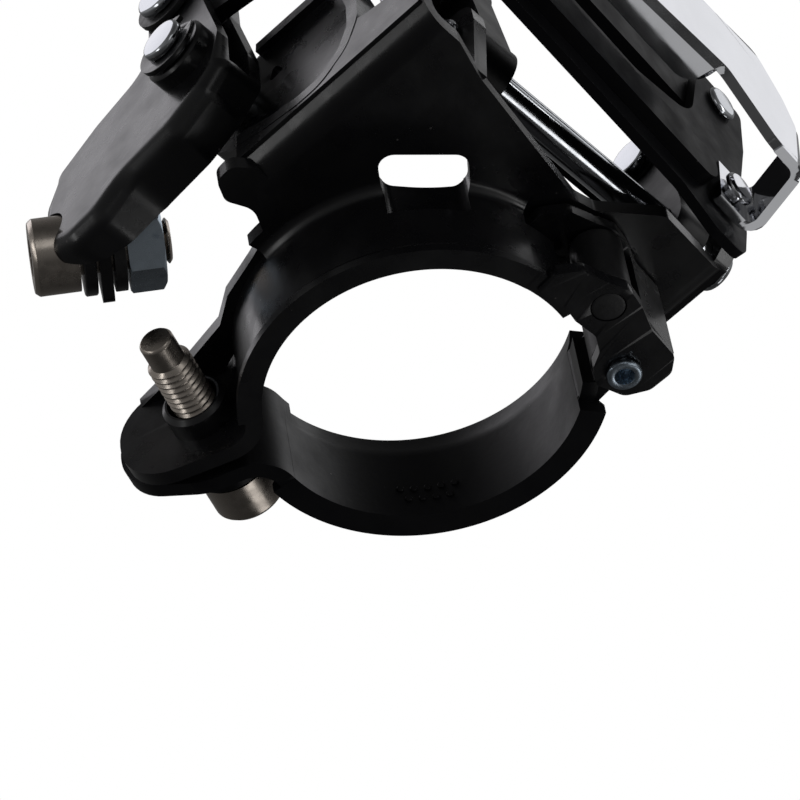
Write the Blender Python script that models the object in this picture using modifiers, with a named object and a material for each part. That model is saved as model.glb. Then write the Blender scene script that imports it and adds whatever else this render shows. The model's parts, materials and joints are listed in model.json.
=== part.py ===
"""Front derailleur, top-swing, hinged 34.9 mm band clamp, built as separate pieces.

Drawn with +Z up the seat tube, +X to the drive side (outboard), +Y forward and the origin
on the clamp axis at the band's mid height.  At the end everything is moved so that the
origin is the middle of the bounding box's bottom.  Lengths are millimetres and angles are
degrees; MM turns lengths into metres.

Work frames:
  WORLD      clamp frame, the world axes
  LINKAGE    tipped about X so that the pivot pins rise towards the rear
  CAGE       the linkage frame turned a few degrees about its own z
  EAR_FRAME  x along the clamp ears, y along the clamp bolt to the rear, z up
Solid cutters run past the faces they pierce.
"""
import math

import bmesh
import bpy
from mathutils import Matrix, Vector

MM = 0.001
MERGE_NEW = 2e-6       # vertex merge distance of a new solid, metres
MERGE_CUT = 1e-6       # the same after a boolean
ROUND_STEPS = 20       # segments of a round hole or pin

# ---- driving dimensions -------------------------------------------------------
TUBE_D = 34.9          # seat tube the clamp closes on
BAND_R = TUBE_D / 2    # inner radius of the closed band
SHEET = 1.9            # band sheet
BAND_Z = 6.7           # half height of the band
FIT = 0.32             # running clearance between facetted pins and holes

EAR_ANGLE = 202.0      # direction of the clamp ears from the tube axis
EAR_GAP = 0.65         # half of the gap between the ears
EAR_MID = 0.95         # the gap's middle, from the tube axis towards the rear
FIXED_EAR_END = 33.6   # ends of the ears, from the tube axis
HINGED_EAR_END = 34.8
EAR_BEND = 4.0         # mid-line radius of the bend between ear and band
CLAMP_BOLT_X = 23.8    # clamp bolt axis from the tube axis
BOLT_R = 2.5           # clamp bolt and cable bolt
CLAMP_HOLE_R = BOLT_R + 0.45

HINGE_XY = (15.9, 14.6)   # band hinge pin
HINGE_PIN_R = 1.6
STUD_XY = (21.2, 6.8)     # stud that holds the hinge clevis to the bracket
STUD_TOP_R = 1.5
STUD_LOW_R = 1.9

TILT = 10.0            # pivot pins rise to the rear by this angle
CAGE_YAW = 7.0         # cage turned from the pins by this angle
PLATE_Z = (5.0, 6.8)   # bracket plate

# pivots, x and z in LINKAGE
OUTER_FIXED = (24.4, 12.7)
INNER_FIXED = (1.55, 17.8)
LINK = (-2.9, 15.8)    # both links, from the fixed to the moving pivot
OUTER_MOVING = (OUTER_FIXED[0] + LINK[0], OUTER_FIXED[1] + LINK[1])
INNER_MOVING = (INNER_FIXED[0] + LINK[0], INNER_FIXED[1] + LINK[1])
ROD_R = 2.0            # outer fixed pivot rod
INNER_PIN_R = 2.6      # inner fixed pivot pin
PIN_R = 1.9            # moving pivot pins

# sheet walls, y in LINKAGE
SUPPORT_Y = (-27.8, -26.2)       # pivot support
ARM_REAR_Y = (-36.0, -34.4)      # rear flange of the cable arm
ARM_FRONT_Y = (-31.4, -29.8)     # front flange of the cable arm
CARRIER_REAR_Y = (-33.8, -32.0)  # rear arm of the cage carrier
CARRIER_FRONT_Y = (16.7, 18.3)   # front arm of the cage carrier

CABLE_BOLT_SEAT = (-19.7, -31.9, 7.6)    # underside of the head, in LINKAGE
CABLE_BOLT_AXIS = (0.729, 0.668, 0.152)  # from the head to the nut, in LINKAGE

SUPPORT_RIVET_X = (14.0, 18.2)   # rivets of bracket and pivot support, x in LINKAGE
SUPPORT_RIVET_Z = 5.7
SUPPORT_RIVET_R = 0.9
LIMIT_X = (7.0, 12.4)            # limit screws, x and y in LINKAGE
LIMIT_Y = -24.75
LIMIT_R = 1.3

CAGE_IN = 34.0         # inboard face of the inner cage plate, x in CAGE
CAGE_OUT = 44.2        # inboard face of the outer cage plate
CAGE_SHEET = 1.2
CARRIER_RIVETS = ((-33.0, 26.8), (9.4, 26.8))   # rear and front, y and z in CAGE
NOSE = (8.8, 7.0)      # rivet between the nose flange and the inner plate, y and z in CAGE
CAGE_RIVET_R = 1.2
TAIL = (-57.5, -1.6)   # tail screw, y and z in CAGE
TAIL_SCREW_R = 1.5


# ---- frames -------------------------------------------------------------------
WORLD = Matrix.Identity(4)
LINKAGE = Matrix.Rotation(math.radians(-TILT), 4, 'X')
CAGE = LINKAGE @ Matrix.Rotation(math.radians(CAGE_YAW), 4, 'Z')
# outline drawn in the x-z plane and made thick along y
IN_XZ = Matrix(((1, 0, 0, 0), (0, 0, 1, 0), (0, 1, 0, 0), (0, 0, 0, 1)))
# outline drawn in the y-z plane and made thick along x
IN_YZ = Matrix(((0, 0, 1, 0), (1, 0, 0, 0), (0, 1, 0, 0), (0, 0, 0, 1)))
LINKAGE_XZ = LINKAGE @ IN_XZ
CAGE_YZ = CAGE @ IN_YZ


def axis_frame(origin, direction, base=WORLD):
    """Frame inside base whose z runs along direction from origin."""
    z = Vector(direction).normalized()
    x = Vector((0, 0, 1)).cross(z)
    if x.length < 1e-6:
        x = Vector((1, 0, 0))
    x.normalize()
    y = z.cross(x)
    frame = Matrix((x, y, z)).transposed().to_4x4()
    frame.translation = Vector(origin)
    return base @ frame


def pivot_frame(pivot, y=0):
    """Frame whose z runs forward along a pivot axis of the linkage."""
    return axis_frame((pivot[0], y, pivot[1]), (0, 1, 0), LINKAGE)


def cross_cage_frame(place, x=0):
    """Frame whose z runs outboard across the cage at a (y, z) place."""
    return axis_frame((x, *place), (1, 0, 0), CAGE)


EAR_DIR = Vector((math.cos(math.radians(EAR_ANGLE)), math.sin(math.radians(EAR_ANGLE)), 0))
CLAMP_DIR = Vector((-EAR_DIR.y, EAR_DIR.x, 0))    # towards the rear
EAR_FRAME = Matrix((EAR_DIR, CLAMP_DIR, Vector((0, 0, 1)))).transposed().to_4x4()
CLAMP_BOLT = axis_frame(EAR_DIR * CLAMP_BOLT_X, CLAMP_DIR)
CABLE_BOLT = axis_frame(CABLE_BOLT_SEAT, CABLE_BOLT_AXIS, LINKAGE)


# ---- outlines -----------------------------------------------------------------
def arc(centre, radius, start, end, steps):
    """Points on an arc, both ends included."""
    angles = [math.radians(start + (end - start) * i / steps) for i in range(steps + 1)]
    return [(centre[0] + radius * math.cos(a), centre[1] + radius * math.sin(a))
            for a in angles]


def circle(radius, steps=ROUND_STEPS, centre=(0, 0), turn=0.0):
    return arc(centre, radius, turn, turn + 360.0, steps)[:-1]


def rectangle(x0, y0, x1, y1):
    return [(x0, y0), (x1, y0), (x1, y1), (x0, y1)]


def rounded(points, radius=None, steps=4, closed=True):
    """Polygon or path with its corners turned into arcs.

    The points are (x, y, corner radius), or (x, y) where one radius serves them all.
    """
    count = len(points)
    out = []
    for i, point in enumerate(points):
        corner_r = point[2] if radius is None else radius
        if corner_r <= 0 or (not closed and i in (0, count - 1)):
            out.append(point[:2])
            continue
        corner = Vector(point[:2])
        before = Vector(points[i - 1][:2]) - corner
        after = Vector(points[(i + 1) % count][:2]) - corner
        before_len, after_len = before.length, after.length
        before.normalize()
        after.normalize()
        half = math.acos(max(-1, min(1, before.dot(after)))) / 2
        if abs(half - math.pi / 2) < 1e-3:
            out.append(point[:2])
            continue
        # the arc may use up to nearly half of each neighbouring side
        setback = min(corner_r / math.tan(half), before_len * 0.49, after_len * 0.49)
        arc_r = setback * math.tan(half)
        centre = corner + (before + after).normalized() * (arc_r / math.sin(half))
        first = corner + before * setback - centre
        last = corner + after * setback - centre
        start = math.atan2(first.y, first.x)
        turn = math.atan2(last.y, last.x) - start
        while turn > math.pi:
            turn -= 2 * math.pi
        while turn < -math.pi:
            turn += 2 * math.pi
        for k in range(steps + 1):
            angle = start + turn * k / steps
            out.append((centre.x + arc_r * math.cos(angle), centre.y + arc_r * math.sin(angle)))
    return out


def strip(path, thickness):
    """Outline of a strip along a path of mid-line points, mitred at the corners."""
    left, right = [], []
    last = len(path) - 1
    for i, point in enumerate(path):
        before = Vector(path[max(i - 1, 0)])
        after = Vector(path[min(i + 1, last)])
        along = (after - before).normalized()
        normal = Vector((-along.y, along.x))
        mitre = 1.0
        if 0 < i < last:
            side = (Vector(point) - before).normalized()
            mitre = 1.0 / max(0.3, abs(normal.dot(Vector((-side.y, side.x)))))
        offset = normal * thickness / 2 * mitre
        left.append(tuple(Vector(point) + offset))
        right.append(tuple(Vector(point) - offset))
    return left + right[::-1]


def capsule(centre_a, radius_a, centre_b, radius_b, steps=10):
    """Outline round two circles."""
    span = Vector(centre_b) - Vector(centre_a)
    angle = math.degrees(math.atan2(span.y, span.x))
    touch = math.degrees(math.acos((radius_a - radius_b) / span.length))
    return (arc(centre_a, radius_a, angle + touch, angle + 360 - touch, steps)
            + arc(centre_b, radius_b, angle - touch, angle + touch, steps))


# ---- solids -------------------------------------------------------------------
PARTS = bpy.data.collections.new("front_derailleur")


def new_object(data, frame=WORLD):
    ob = bpy.data.objects.new("solid", data)
    PARTS.objects.link(ob)
    placement = frame.copy()
    placement.translation = frame.translation * MM
    ob.matrix_world = placement
    return ob


def clean(mesh, distance):
    bm = bmesh.new()
    bm.from_mesh(mesh)
    bmesh.ops.remove_doubles(bm, verts=bm.verts, dist=distance)
    bmesh.ops.recalc_face_normals(bm, faces=bm.faces)
    bm.to_mesh(mesh)
    bm.free()
    mesh.update()


def evaluated(ob):
    """Replace an object by a plain mesh of what its modifiers or curve make."""
    bpy.context.view_layer.update()
    depsgraph = bpy.context.evaluated_depsgraph_get()
    mesh = bpy.data.meshes.new_from_object(ob.evaluated_get(depsgraph))
    placement = ob.matrix_world.copy()
    bpy.data.objects.remove(ob)
    new = bpy.data.objects.new("solid", mesh)
    PARTS.objects.link(new)
    new.matrix_world = placement
    return new


def settled(ob):
    """Move the object's placement into its mesh and clean the mesh."""
    ob.data.transform(ob.matrix_world)
    if ob.matrix_world.determinant() < 0:
        ob.data.flip_normals()
    ob.matrix_world = Matrix.Identity(4)
    clean(ob.data, MERGE_NEW)
    return ob


def add_line(curve, points, closed):
    spline = curve.splines.new('POLY')
    spline.points.add(len(points) - 1)
    for knot, point in zip(spline.points, points):
        x, y, z = (*point, 0)[:3]
        knot.co = (x * MM, y * MM, z * MM, 1)
    spline.use_cyclic_u = closed


def prism(outline, z0, z1, frame=WORLD, holes=()):
    """Flat outline with holes, made thick from z0 to z1 along the frame's z."""
    curve = bpy.data.curves.new("solid", 'CURVE')
    curve.dimensions = '2D'
    curve.fill_mode = 'BOTH'
    curve.extrude = (z1 - z0) / 2 * MM
    for points in [outline, *holes]:
        add_line(curve, points, closed=True)
    middle = Matrix.Translation((0, 0, (z0 + z1) / 2))
    return settled(evaluated(new_object(curve, frame @ middle)))


def wire(points, diameter, frame):
    """Round wire along a line of points."""
    curve = bpy.data.curves.new("solid", 'CURVE')
    curve.dimensions = '3D'
    curve.bevel_depth = diameter / 2 * MM
    curve.bevel_resolution = 2
    curve.use_fill_caps = True
    add_line(curve, points, closed=False)
    return settled(evaluated(new_object(curve, frame)))


def turned(profile, frame=WORLD, steps=ROUND_STEPS):
    """Solid turned about the frame's z; profile runs (radius, z) from one end to the other."""
    mesh = bpy.data.meshes.new("solid")
    mesh.from_pydata([(radius * MM, 0, z * MM) for radius, z in profile],
                     [(i, i + 1) for i in range(len(profile) - 1)], [])
    ob = new_object(mesh, frame)
    screw = ob.modifiers.new("Screw", 'SCREW')
    screw.axis = 'Z'
    screw.steps = screw.render_steps = steps
    screw.use_merge_vertices = True
    screw.merge_threshold = 1e-6
    return settled(evaluated(ob))


def cylinder(radius, top, bottom, frame=WORLD, steps=ROUND_STEPS):
    return turned([(0, top), (radius, top), (radius, bottom), (0, bottom)], frame, steps)


def rod(start, end, radius, base, steps, chamfer):
    """Cylinder between two points, with an optional chamfer at both ends."""
    start, end = Vector(start), Vector(end)
    length = (end - start).length
    frame = axis_frame(start, end - start, base)
    if chamfer == 0:
        return cylinder(radius, length, 0, frame, steps)
    face_r = radius - chamfer
    return turned([(0, length), (face_r, length), (radius, length - chamfer),
                   (radius, chamfer), (face_r, 0), (0, 0)], frame, steps)


def rod_x(yz, start, end, radius, base=CAGE, steps=ROUND_STEPS, chamfer=0):
    return rod((start, *yz), (end, *yz), radius, base, steps, chamfer)


def rod_y(xz, start, end, radius, base=LINKAGE, steps=ROUND_STEPS, chamfer=0):
    x, z = xz
    return rod((x, start, z), (x, end, z), radius, base, steps, chamfer)


def rod_z(xy, start, end, radius, base=WORLD, steps=ROUND_STEPS):
    return rod((*xy, start), (*xy, end), radius, base, steps, 0)


def sweep(section, start, end, steps):
    """Closed section (radius, z) swept about the tube axis between two angles."""
    bm = bmesh.new()
    cos, sin = math.cos(math.radians(start)), math.sin(math.radians(start))
    verts = [bm.verts.new((radius * cos * MM, radius * sin * MM, z * MM))
             for radius, z in section]
    face = bm.faces.new(verts)
    bmesh.ops.spin(bm, geom=[face] + list(face.edges) + verts, cent=(0, 0, 0),
                   axis=(0, 0, 1), angle=math.radians(end - start), steps=steps,
                   use_duplicate=False)
    mesh = bpy.data.meshes.new("solid")
    bm.to_mesh(mesh)
    bm.free()
    return settled(new_object(mesh))


def boolean(ob, other, operation):
    modifier = ob.modifiers.new("Boolean", 'BOOLEAN')
    modifier.operation = operation
    modifier.solver = 'EXACT'
    modifier.object = other
    out = evaluated(ob)
    bpy.data.objects.remove(other)
    clean(out.data, MERGE_CUT)
    return out


def join(first, *others):
    for other in others:
        first = boolean(first, other, 'UNION')
    return first


def cut(first, *others):
    for other in others:
        first = boolean(first, other, 'DIFFERENCE')
    return first


def common(first, other):
    return boolean(first, other, 'INTERSECT')


def bevelled(ob, width, segments, angle=32):
    modifier = ob.modifiers.new("Bevel", 'BEVEL')
    modifier.width = width * MM
    modifier.segments = segments
    modifier.limit_method = 'ANGLE'
    modifier.angle_limit = math.radians(angle)
    modifier.use_clamp_overlap = True
    return evaluated(ob)


# ---- shapes shared by several pieces ------------------------------------------
def socket_bolt(tip, seat, frame):
    """Hex socket bolt; tip is its profile down to the shank, seat the head's underside."""
    head_r, head_h, socket_r, socket_depth = 4.25, 5.0, 2.31, 2.6
    end = seat - head_h
    body = turned(tip + [(BOLT_R, seat), (head_r, seat), (head_r, end + 0.4),
                         (head_r - 0.35, end), (0, end)], frame, 24)
    return cut(body, prism(circle(socket_r, 6), end - 1.0, end + socket_depth, frame))


def cut_cross(ob, half_length, half_width, floor, top, frame):
    """Cut a cross recess; the second slot goes 0.05 deeper."""
    return cut(ob,
               prism(rectangle(-half_length, -half_width, half_length, half_width),
                     floor, top, frame),
               prism(rectangle(-half_width, -half_length, half_width, half_length),
                     floor - 0.05, top + 0.1, frame))


def support_rivet_holes():
    return [rod_y((x, SUPPORT_RIVET_Z), -31, -24, SUPPORT_RIVET_R + FIT, steps=14)
            for x in SUPPORT_RIVET_X]


def carrier_rivet_holes():
    return [rod_x(place, 30, 37, CAGE_RIVET_R + FIT, steps=14) for place in CARRIER_RIVETS]


def hinge_hole():
    return rod_z(HINGE_XY, -9, 9, HINGE_PIN_R + FIT)


def ear_path(side, mid, end, tube_angle):
    """Mid-line of a clamp ear: along the ear, round the bend and on round the tube."""
    band_mid_r = BAND_R + SHEET / 2
    reach = band_mid_r + EAR_BEND
    bend_x = math.sqrt(reach ** 2 - (mid + EAR_BEND) ** 2)
    meet = math.degrees(math.asin((mid + EAR_BEND) / reach))
    points = [(end, mid), (bend_x, mid)]
    points += arc((bend_x, mid + EAR_BEND), EAR_BEND, -90, -90 - (90 - meet), 4)[1:]
    points += arc((0, 0), band_mid_r, meet, tube_angle, 3)[1:]
    return [(x, side * y) for x, y in points]


def clamp_ear(side, mid, end, tube_angle, lower_edge):
    """Ear with a rounded end; side is 1 for the rear ear, -1 for the front one.

    lower_edge is the end of its side outline, (x, z, corner radius) in EAR_FRAME.
    """
    ear = prism(strip(ear_path(side, mid, end, tube_angle), SHEET * 0.985),
                -BAND_Z + 0.03, BAND_Z - 0.03, EAR_FRAME)
    outline = [(4, -BAND_Z - 1, 0), (4, BAND_Z + 1, 0), (20, BAND_Z + 1, 0), (20, BAND_Z, 0),
               (end, BAND_Z, 6.4)] + lower_edge
    return common(ear, prism(rounded(outline, steps=5), -24, 24, EAR_FRAME @ IN_XZ))


# ---- clamp bracket ------------------------------------------------------------
COLLAR_R = 19.35       # outer radius of the collar
FLANGE_R = 21.6        # how far the collar's top flange reaches into the plate
PLATE_FLANGE_Y = -28.4    # mid-line of the plate's turned-up rear flange
PLATE_LIP_Y = 21.7        # mid-line of its turned-up front lip
PLATE_BEND = 2.6
HOOK_Y = (-29.87, -28.13)     # hooked wall, y in LINKAGE
ROD_EAR_REAR_Y = (-19.6, -17.8)
ROD_EAR_FRONT_Y = (19.4, 21.32)
BOSS_HEIGHT = 2.8      # boss behind the fixed ear
BOSS_R = 3.7

# plan of the plate: x, y, corner radius
PLATE_PLAN = [
    (3.4, -31.0, 0), (31.6, -31.0, 1.5), (30.9, -23.2, 2.0), (28.9, -18.2, 2.0),
    (23.6, 1.9, 2.2), (23.9, 4.6, 1.6), (28.2, 11.2, 1.6), (25.6, 26, 1.0), (16.6, 26, 1.2),
    (17.6, 17.2, 2.0), (10.0, 12.0, 0), (-3.0, 0.0, 0), (-1.6, -20.0, 3.0), (3.4, -23.0, 0.5)]
# flat lug beside the rear flange: x, y, corner radius
LUG = [(5.0, -20.0, 0), (5.0, -28.2, 0), (3.6, -30.4, 1.5), (1.2, -30.2, 1.5),
       (-0.2, -27.6, 1.5), (0.9, -24.4, 2.5), (-1.5, -20.0, 0)]
# hooked wall and the two ears of the outer pivot rod: x, z in LINKAGE, corner radius
HOOK = [(3.4, 2.0, 0), (3.4, 4.6, 1.0), (8.6, 8.2, 3.0), (11.3, 15.6, 5.0), (11.2, 23.6, 2.5),
        (19.6, 23.6, 2.5), (20.4, 16.2, 5.0), (19.9, 9.6, 4.0), (31.0, 7.2, 2.0),
        (31.0, 2.0, 0)]
ROD_EAR_REAR = [(19.6, 2.8, 0), (29.0, 2.8, 0), (29.0, 12.7, 3), (28.4, 16.9, 3.5),
                (20.4, 16.9, 3.5), (19.8, 12.7, 3)]
ROD_EAR_FRONT = [(17.0, 9.7, 0.5), (26.6, 9.7, 1.0), (28.8, 12.4, 3), (28.6, 17.0, 3.5),
                 (20.4, 17.0, 3.5), (17.0, 13.6, 1.5)]
# window in the plate, x, y
WINDOW = [(14.5, -19.4), (20.7, -11.7), (17.1, -7.7), (11.1, -15.2)]
SMALL_HOLE_XY = (19.0, 5.4)
SMALL_HOLE_R = 1.0


def bracket_plate():
    """Plate with its turned-up flange and lip, lug, hooked wall and rod ears."""
    sin, cos = math.sin(math.radians(TILT)), math.cos(math.radians(TILT))
    z = (PLATE_Z[0] + PLATE_Z[1]) / 2
    path = rounded([(PLATE_FLANGE_Y + sin * 6.0, z + cos * 6.0), (PLATE_FLANGE_Y, z),
                    (PLATE_LIP_Y, z), (PLATE_LIP_Y + sin * 4.0, z + cos * 4.0)],
                   PLATE_BEND, closed=False)
    plate = prism(strip(path, PLATE_Z[1] - PLATE_Z[0]), -6, 36, IN_YZ)
    plate = common(plate, prism(rounded(PLATE_PLAN), -2, 22))
    plate = join(plate, prism(rounded(LUG), PLATE_Z[0] + 0.04, PLATE_Z[1] - 0.04))
    plate = cut(plate, prism(circle(19.2, 48), -3, 24))
    return join(plate,
                prism(rounded(HOOK), *HOOK_Y, LINKAGE_XZ),
                prism(rounded(ROD_EAR_REAR), *ROD_EAR_REAR_Y, LINKAGE_XZ),
                prism(rounded(ROD_EAR_FRONT), *ROD_EAR_FRONT_Y, LINKAGE_XZ))


def bracket_collar():
    """Three stretches of collar; the first two have a small outward lip at the lower edge."""
    bottom, top = PLATE_Z
    lower = [(BAND_R, -BAND_Z), (20.1, -BAND_Z), (20.1, -5.7), (COLLAR_R, -4.6)]
    flanged = lower + [(COLLAR_R, 3.6)] + arc((20.75, 3.6), 1.4, 180, 92, 3)[1:]
    flanged += [(FLANGE_R, bottom + 0.03), (FLANGE_R, top - 0.03), (19.95, top - 0.03)]
    flanged += arc((19.95, 4.3), 2.5, 92, 180, 3)[1:]
    plain = lower + [(COLLAR_R, 5.2), (19.6, BAND_Z), (BAND_R, BAND_Z)]
    flat = [(BAND_R, bottom + 0.05), (FLANGE_R, bottom + 0.05),
            (FLANGE_R, top - 0.05), (BAND_R, top - 0.05)]
    return [sweep(flanged, 262, 354, 28), sweep(plain, 219, 263, 13), sweep(flat, 352, 402, 15)]


def ear_web(mid):
    """Flange that runs on from the plate, along the collar to the ear."""
    # x and y in EAR_FRAME, y from the ear's mid-line
    along_ear = [(22.0, 0), (30.4, 0), (30.6, 0.9), (27.6, 2.4), (22.8, 4.6), (18.2, 7.4)]
    outline = arc((0, 0), 18.4, 268, 223, 9)
    for x, y in along_ear:
        point = EAR_DIR * x + CLAMP_DIR * (mid + y)
        outline.append((point.x, point.y))
    outline += [(-9.6, -18.3), (-4.6, -19.7), (-1.2, -20.8)]
    return prism(outline, PLATE_Z[0] + 0.1, BAND_Z - 0.1)


def make_bracket():
    mid = EAR_MID + EAR_GAP + SHEET / 2
    ear = clamp_ear(1, mid, FIXED_EAR_END, 22.0,
                    [(FIXED_EAR_END, -BAND_Z + 0.4, 6.4), (22, -BAND_Z, 0),
                     (20, -BAND_Z - 1, 0)])
    boss = rod_y((CLAMP_BOLT_X, 0), mid, mid + SHEET / 2 + BOSS_HEIGHT, BOSS_R,
                 EAR_FRAME, 20, 0.5)
    collar, *more_collar = bracket_collar()
    body = join(collar, *more_collar, bracket_plate(), ear, ear_web(mid), boss)
    # shallow groove in the plate's upper face below the outer link's front knuckle
    groove = rod_y(OUTER_FIXED, 12.6, 17.9, 3.9, steps=28)
    return cut(body,
               rod_y((CLAMP_BOLT_X, 0), -3, 14, CLAMP_HOLE_R, EAR_FRAME),
               prism(rounded(WINDOW, 1.6), 1.0, 9.0),
               prism(circle(SMALL_HOLE_R, 12, SMALL_HOLE_XY), 4.4, 9.0),
               prism(circle(STUD_TOP_R + FIT, 14, STUD_XY), 4.0, 9.0),
               rod_y(OUTER_FIXED, -24, 26, ROD_R + FIT),
               *support_rivet_holes(),
               groove)


# ---- hinged half band ---------------------------------------------------------
SEAT_Y = -4.3          # face that the clamp bolt's head pulls on, y in EAR_FRAME
SEAT_R = 4.7
EYE_R = 3.3            # hinge eye
EYE_Z = (-4.9, 2.7)
# half band section: radius, z
BAND_SECTION = [(BAND_R, -BAND_Z), (20.4, -BAND_Z), (20.4, -5.4), (19.7, -4.5), (19.35, -3.6),
                (19.35, 3.2), (19.9, 4.6), (20.3, BAND_Z), (18.3, BAND_Z), (17.95, 4.6),
                (BAND_R, 3.0)]


def make_band():
    ring = sweep(BAND_SECTION, 59.0, EAR_ANGLE - 13.5, 34)
    mid = SHEET / 2 + EAR_GAP - EAR_MID
    ear = clamp_ear(-1, mid, HINGED_EAR_END, 18.0,
                    [(HINGED_EAR_END, -2.4, 6.4), (26.5, -6.4, 8), (18, -BAND_Z - 1, 0)])
    seat = rod_y((CLAMP_BOLT_X, 0), -mid, SEAT_Y, SEAT_R, EAR_FRAME, 20, 0.3)
    eye = rod_z(HINGE_XY, *EYE_Z, EYE_R)
    arm = prism(strip([(9.2, 15.9), (12.4, 15.6), HINGE_XY], 2.3),
                EYE_Z[0] + 0.02, EYE_Z[1] - 0.02)
    tube = prism(circle(BAND_R - 0.03, 72), -9, 9)
    return cut(join(ring, ear, seat, eye, arm), tube, hinge_hole(),
               rod_y((CLAMP_BOLT_X, 0), 3, -9, CLAMP_HOLE_R, EAR_FRAME))


# ---- hinge clevis, its pin and stud, clamp bolt --------------------------------
LOWER_LEAF_Z = (-6.9, -5.4)
UPPER_LEAF_Z = (3.1, 4.5)
CLEVIS_WALL_Z = (-6.2, 4.0)
# both leaves: x, y, corner radius
LEAF = [(17.95, -0.9, 0.5), (20.6, -1.1, 1.2), (23.0, 1.0, 1.5), (23.6, 4.4, 2), (24.3, 7.0, 2),
        (23.5, 9.6, 2), (21.9, 12.8, 2), (20.9, 17.4, 1.5), (19.0, 18.9, 1.5),
        (15.9, 18.8, 1.5), (13.5, 17.2, 1.5), (12.7, 13.6, 1.0), (14.2, 11.6, 0.8),
        (16.2, 10.6, 1.0), (17.5, 8.6, 1.0), (17.6, 5.4, 0.8), (18.3, 3.0, 1.0)]
# mid-line of the wall between the leaves, x, y
CLEVIS_WALL = [(22.0, 10.9), (21.2, 13.6), (20.2, 17.4)]


def make_clevis():
    leaf = rounded(LEAF, steps=3)
    wall = strip(rounded(CLEVIS_WALL, 2.0, 3, closed=False), 1.2)
    body = join(prism(leaf, *LOWER_LEAF_Z), prism(leaf, *UPPER_LEAF_Z),
                prism(wall, *CLEVIS_WALL_Z))
    return cut(body, hinge_hole(),
               rod_z(STUD_XY, 0, 9, STUD_TOP_R + FIT, steps=14),
               rod_z(STUD_XY, -9, 0, STUD_LOW_R + FIT))


def make_hinge_pin():
    profile = [(0, 4.75), (1.35, 4.75), (HINGE_PIN_R, 4.5), (HINGE_PIN_R, -7.15),
               (1.95, -7.15), (1.95, -7.6), (1.8, -7.8), (0, -7.8)]
    body = turned(profile, Matrix.Translation((*HINGE_XY, 0)))
    return cut(body, rod_z(HINGE_XY, -9, -5.0, 1.1, steps=16))


def make_stud():
    profile = [(0, 8.0), (2.2, 8.0), (2.6, 7.6), (2.6, 7.1), (STUD_TOP_R, 7.1),
               (STUD_TOP_R, 2.8), (2.9, 2.8), (2.9, -5.1), (STUD_LOW_R, -5.1),
               (STUD_LOW_R, -7.2), (2.5, -7.2), (2.5, -7.6), (2.2, -7.9), (0, -7.9)]
    return turned(profile, Matrix.Translation((*STUD_XY, 0)))


def make_clamp_bolt():
    tip = [(0, 15.8), (1.75, 15.8), (1.95, 15.6), (1.95, 12.6), (BOLT_R, 11.9)]
    return socket_bolt(tip, SEAT_Y - 0.3, CLAMP_BOLT)


# ---- pivot support: pressed wall that carries the inner link -------------------
# x, z in LINKAGE, corner radius
SUPPORT = [(-3.4, 17.8, 3), (-2.6, 12.6, 3), (1.4, 8.8, 2), (12.0, 8.4, 1.0), (12.0, 4.1, 1.0),
           (20.4, 4.1, 1.2), (20.6, 8.0, 2), (19.4, 12.0, 3), (19.2, 19.0, 4), (15.4, 25.0, 3),
           (4.0, 25.0, 2), (1.0, 22.6, 3), (-2.2, 21.4, 3)]
SUPPORT_RIM = [(18.1, 9.6, 0), (18.3, 18.6, 3), (15.4, 23.4, 0)]    # mid-line
SUPPORT_WINDOW = [(6.0, 17.2), (8.2, 17.6), (6.6, 20.2)]
SCREW_TAB = rectangle(4.6, -28.7, 14.8, -22.9)      # x, y in LINKAGE
SCREW_TAB_Z = (24.2, 25.8)


def make_pivot_support():
    wall = prism(rounded(SUPPORT), *SUPPORT_Y, LINKAGE_XZ)
    rim = prism(strip(rounded(SUPPORT_RIM, closed=False), 1.5),
                SUPPORT_Y[0] + 0.4, SUPPORT_Y[1] + 2.7, LINKAGE_XZ)
    tab = prism(SCREW_TAB, *SCREW_TAB_Z, LINKAGE)
    screw_holes = [rod_z((x, LIMIT_Y), 22, 28, LIMIT_R + FIT, LINKAGE, 14) for x in LIMIT_X]
    return cut(join(wall, rim, tab),
               rod_y(INNER_FIXED, -30, -20, INNER_PIN_R + FIT, steps=24),
               prism(rounded(SUPPORT_WINDOW, 0.4, 2), -30, -25, LINKAGE_XZ),
               *screw_holes, *support_rivet_holes())


def make_support_rivet(x):
    shank = SUPPORT_RIVET_R
    profile = [(0, 5.1), (1.3, 5.1), (1.5, 4.9), (1.5, 4.45), (shank, 4.45), (shank, 0.45),
               (1.5, 0.45), (1.5, 0.1), (1.2, -0.1), (0, -0.1)]
    return turned(profile, pivot_frame((x, SUPPORT_RIVET_Z), -30.5), 14)


def make_limit_screw(x):
    frame = axis_frame((x, LIMIT_Y, 0), (0, 0, 1), LINKAGE)
    profile = [(0, 28.1), (1.7, 28.1), (2.0, 27.7), (2.0, 26.1), (LIMIT_R, 26.1),
               (LIMIT_R, 20.9), (1.0, 20.5), (0, 20.5)]
    return cut_cross(turned(profile, frame, 16), 1.3, 0.25, 27.3, 29, frame)


# ---- outer link, its pins and spring -------------------------------------------
LINK_REAR_Y = (-17.0, -13.2)     # walls of the outer link, y in LINKAGE
LINK_FRONT_Y = (13.3, 15.7)
LINK_MOVING_R = 3.6              # outline radius at the moving pivot
# knuckles of the outer link: pivot, y from, y to, radius
KNUCKLES = [(OUTER_FIXED, -17.5, -12.5, 4.05), (OUTER_FIXED, 13.0, 17.5, 3.5),
            (OUTER_MOVING, -17.5, -12.8, 3.65), (OUTER_MOVING, 13.1, 16.3, 3.65)]
LINK_WEB_OFFSET = 3.0            # web's mid-line beside the line of the pivots
LINK_WEB_STATIONS = (4.6, 9.0, 13.6)    # along that line from the fixed pivot

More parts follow.
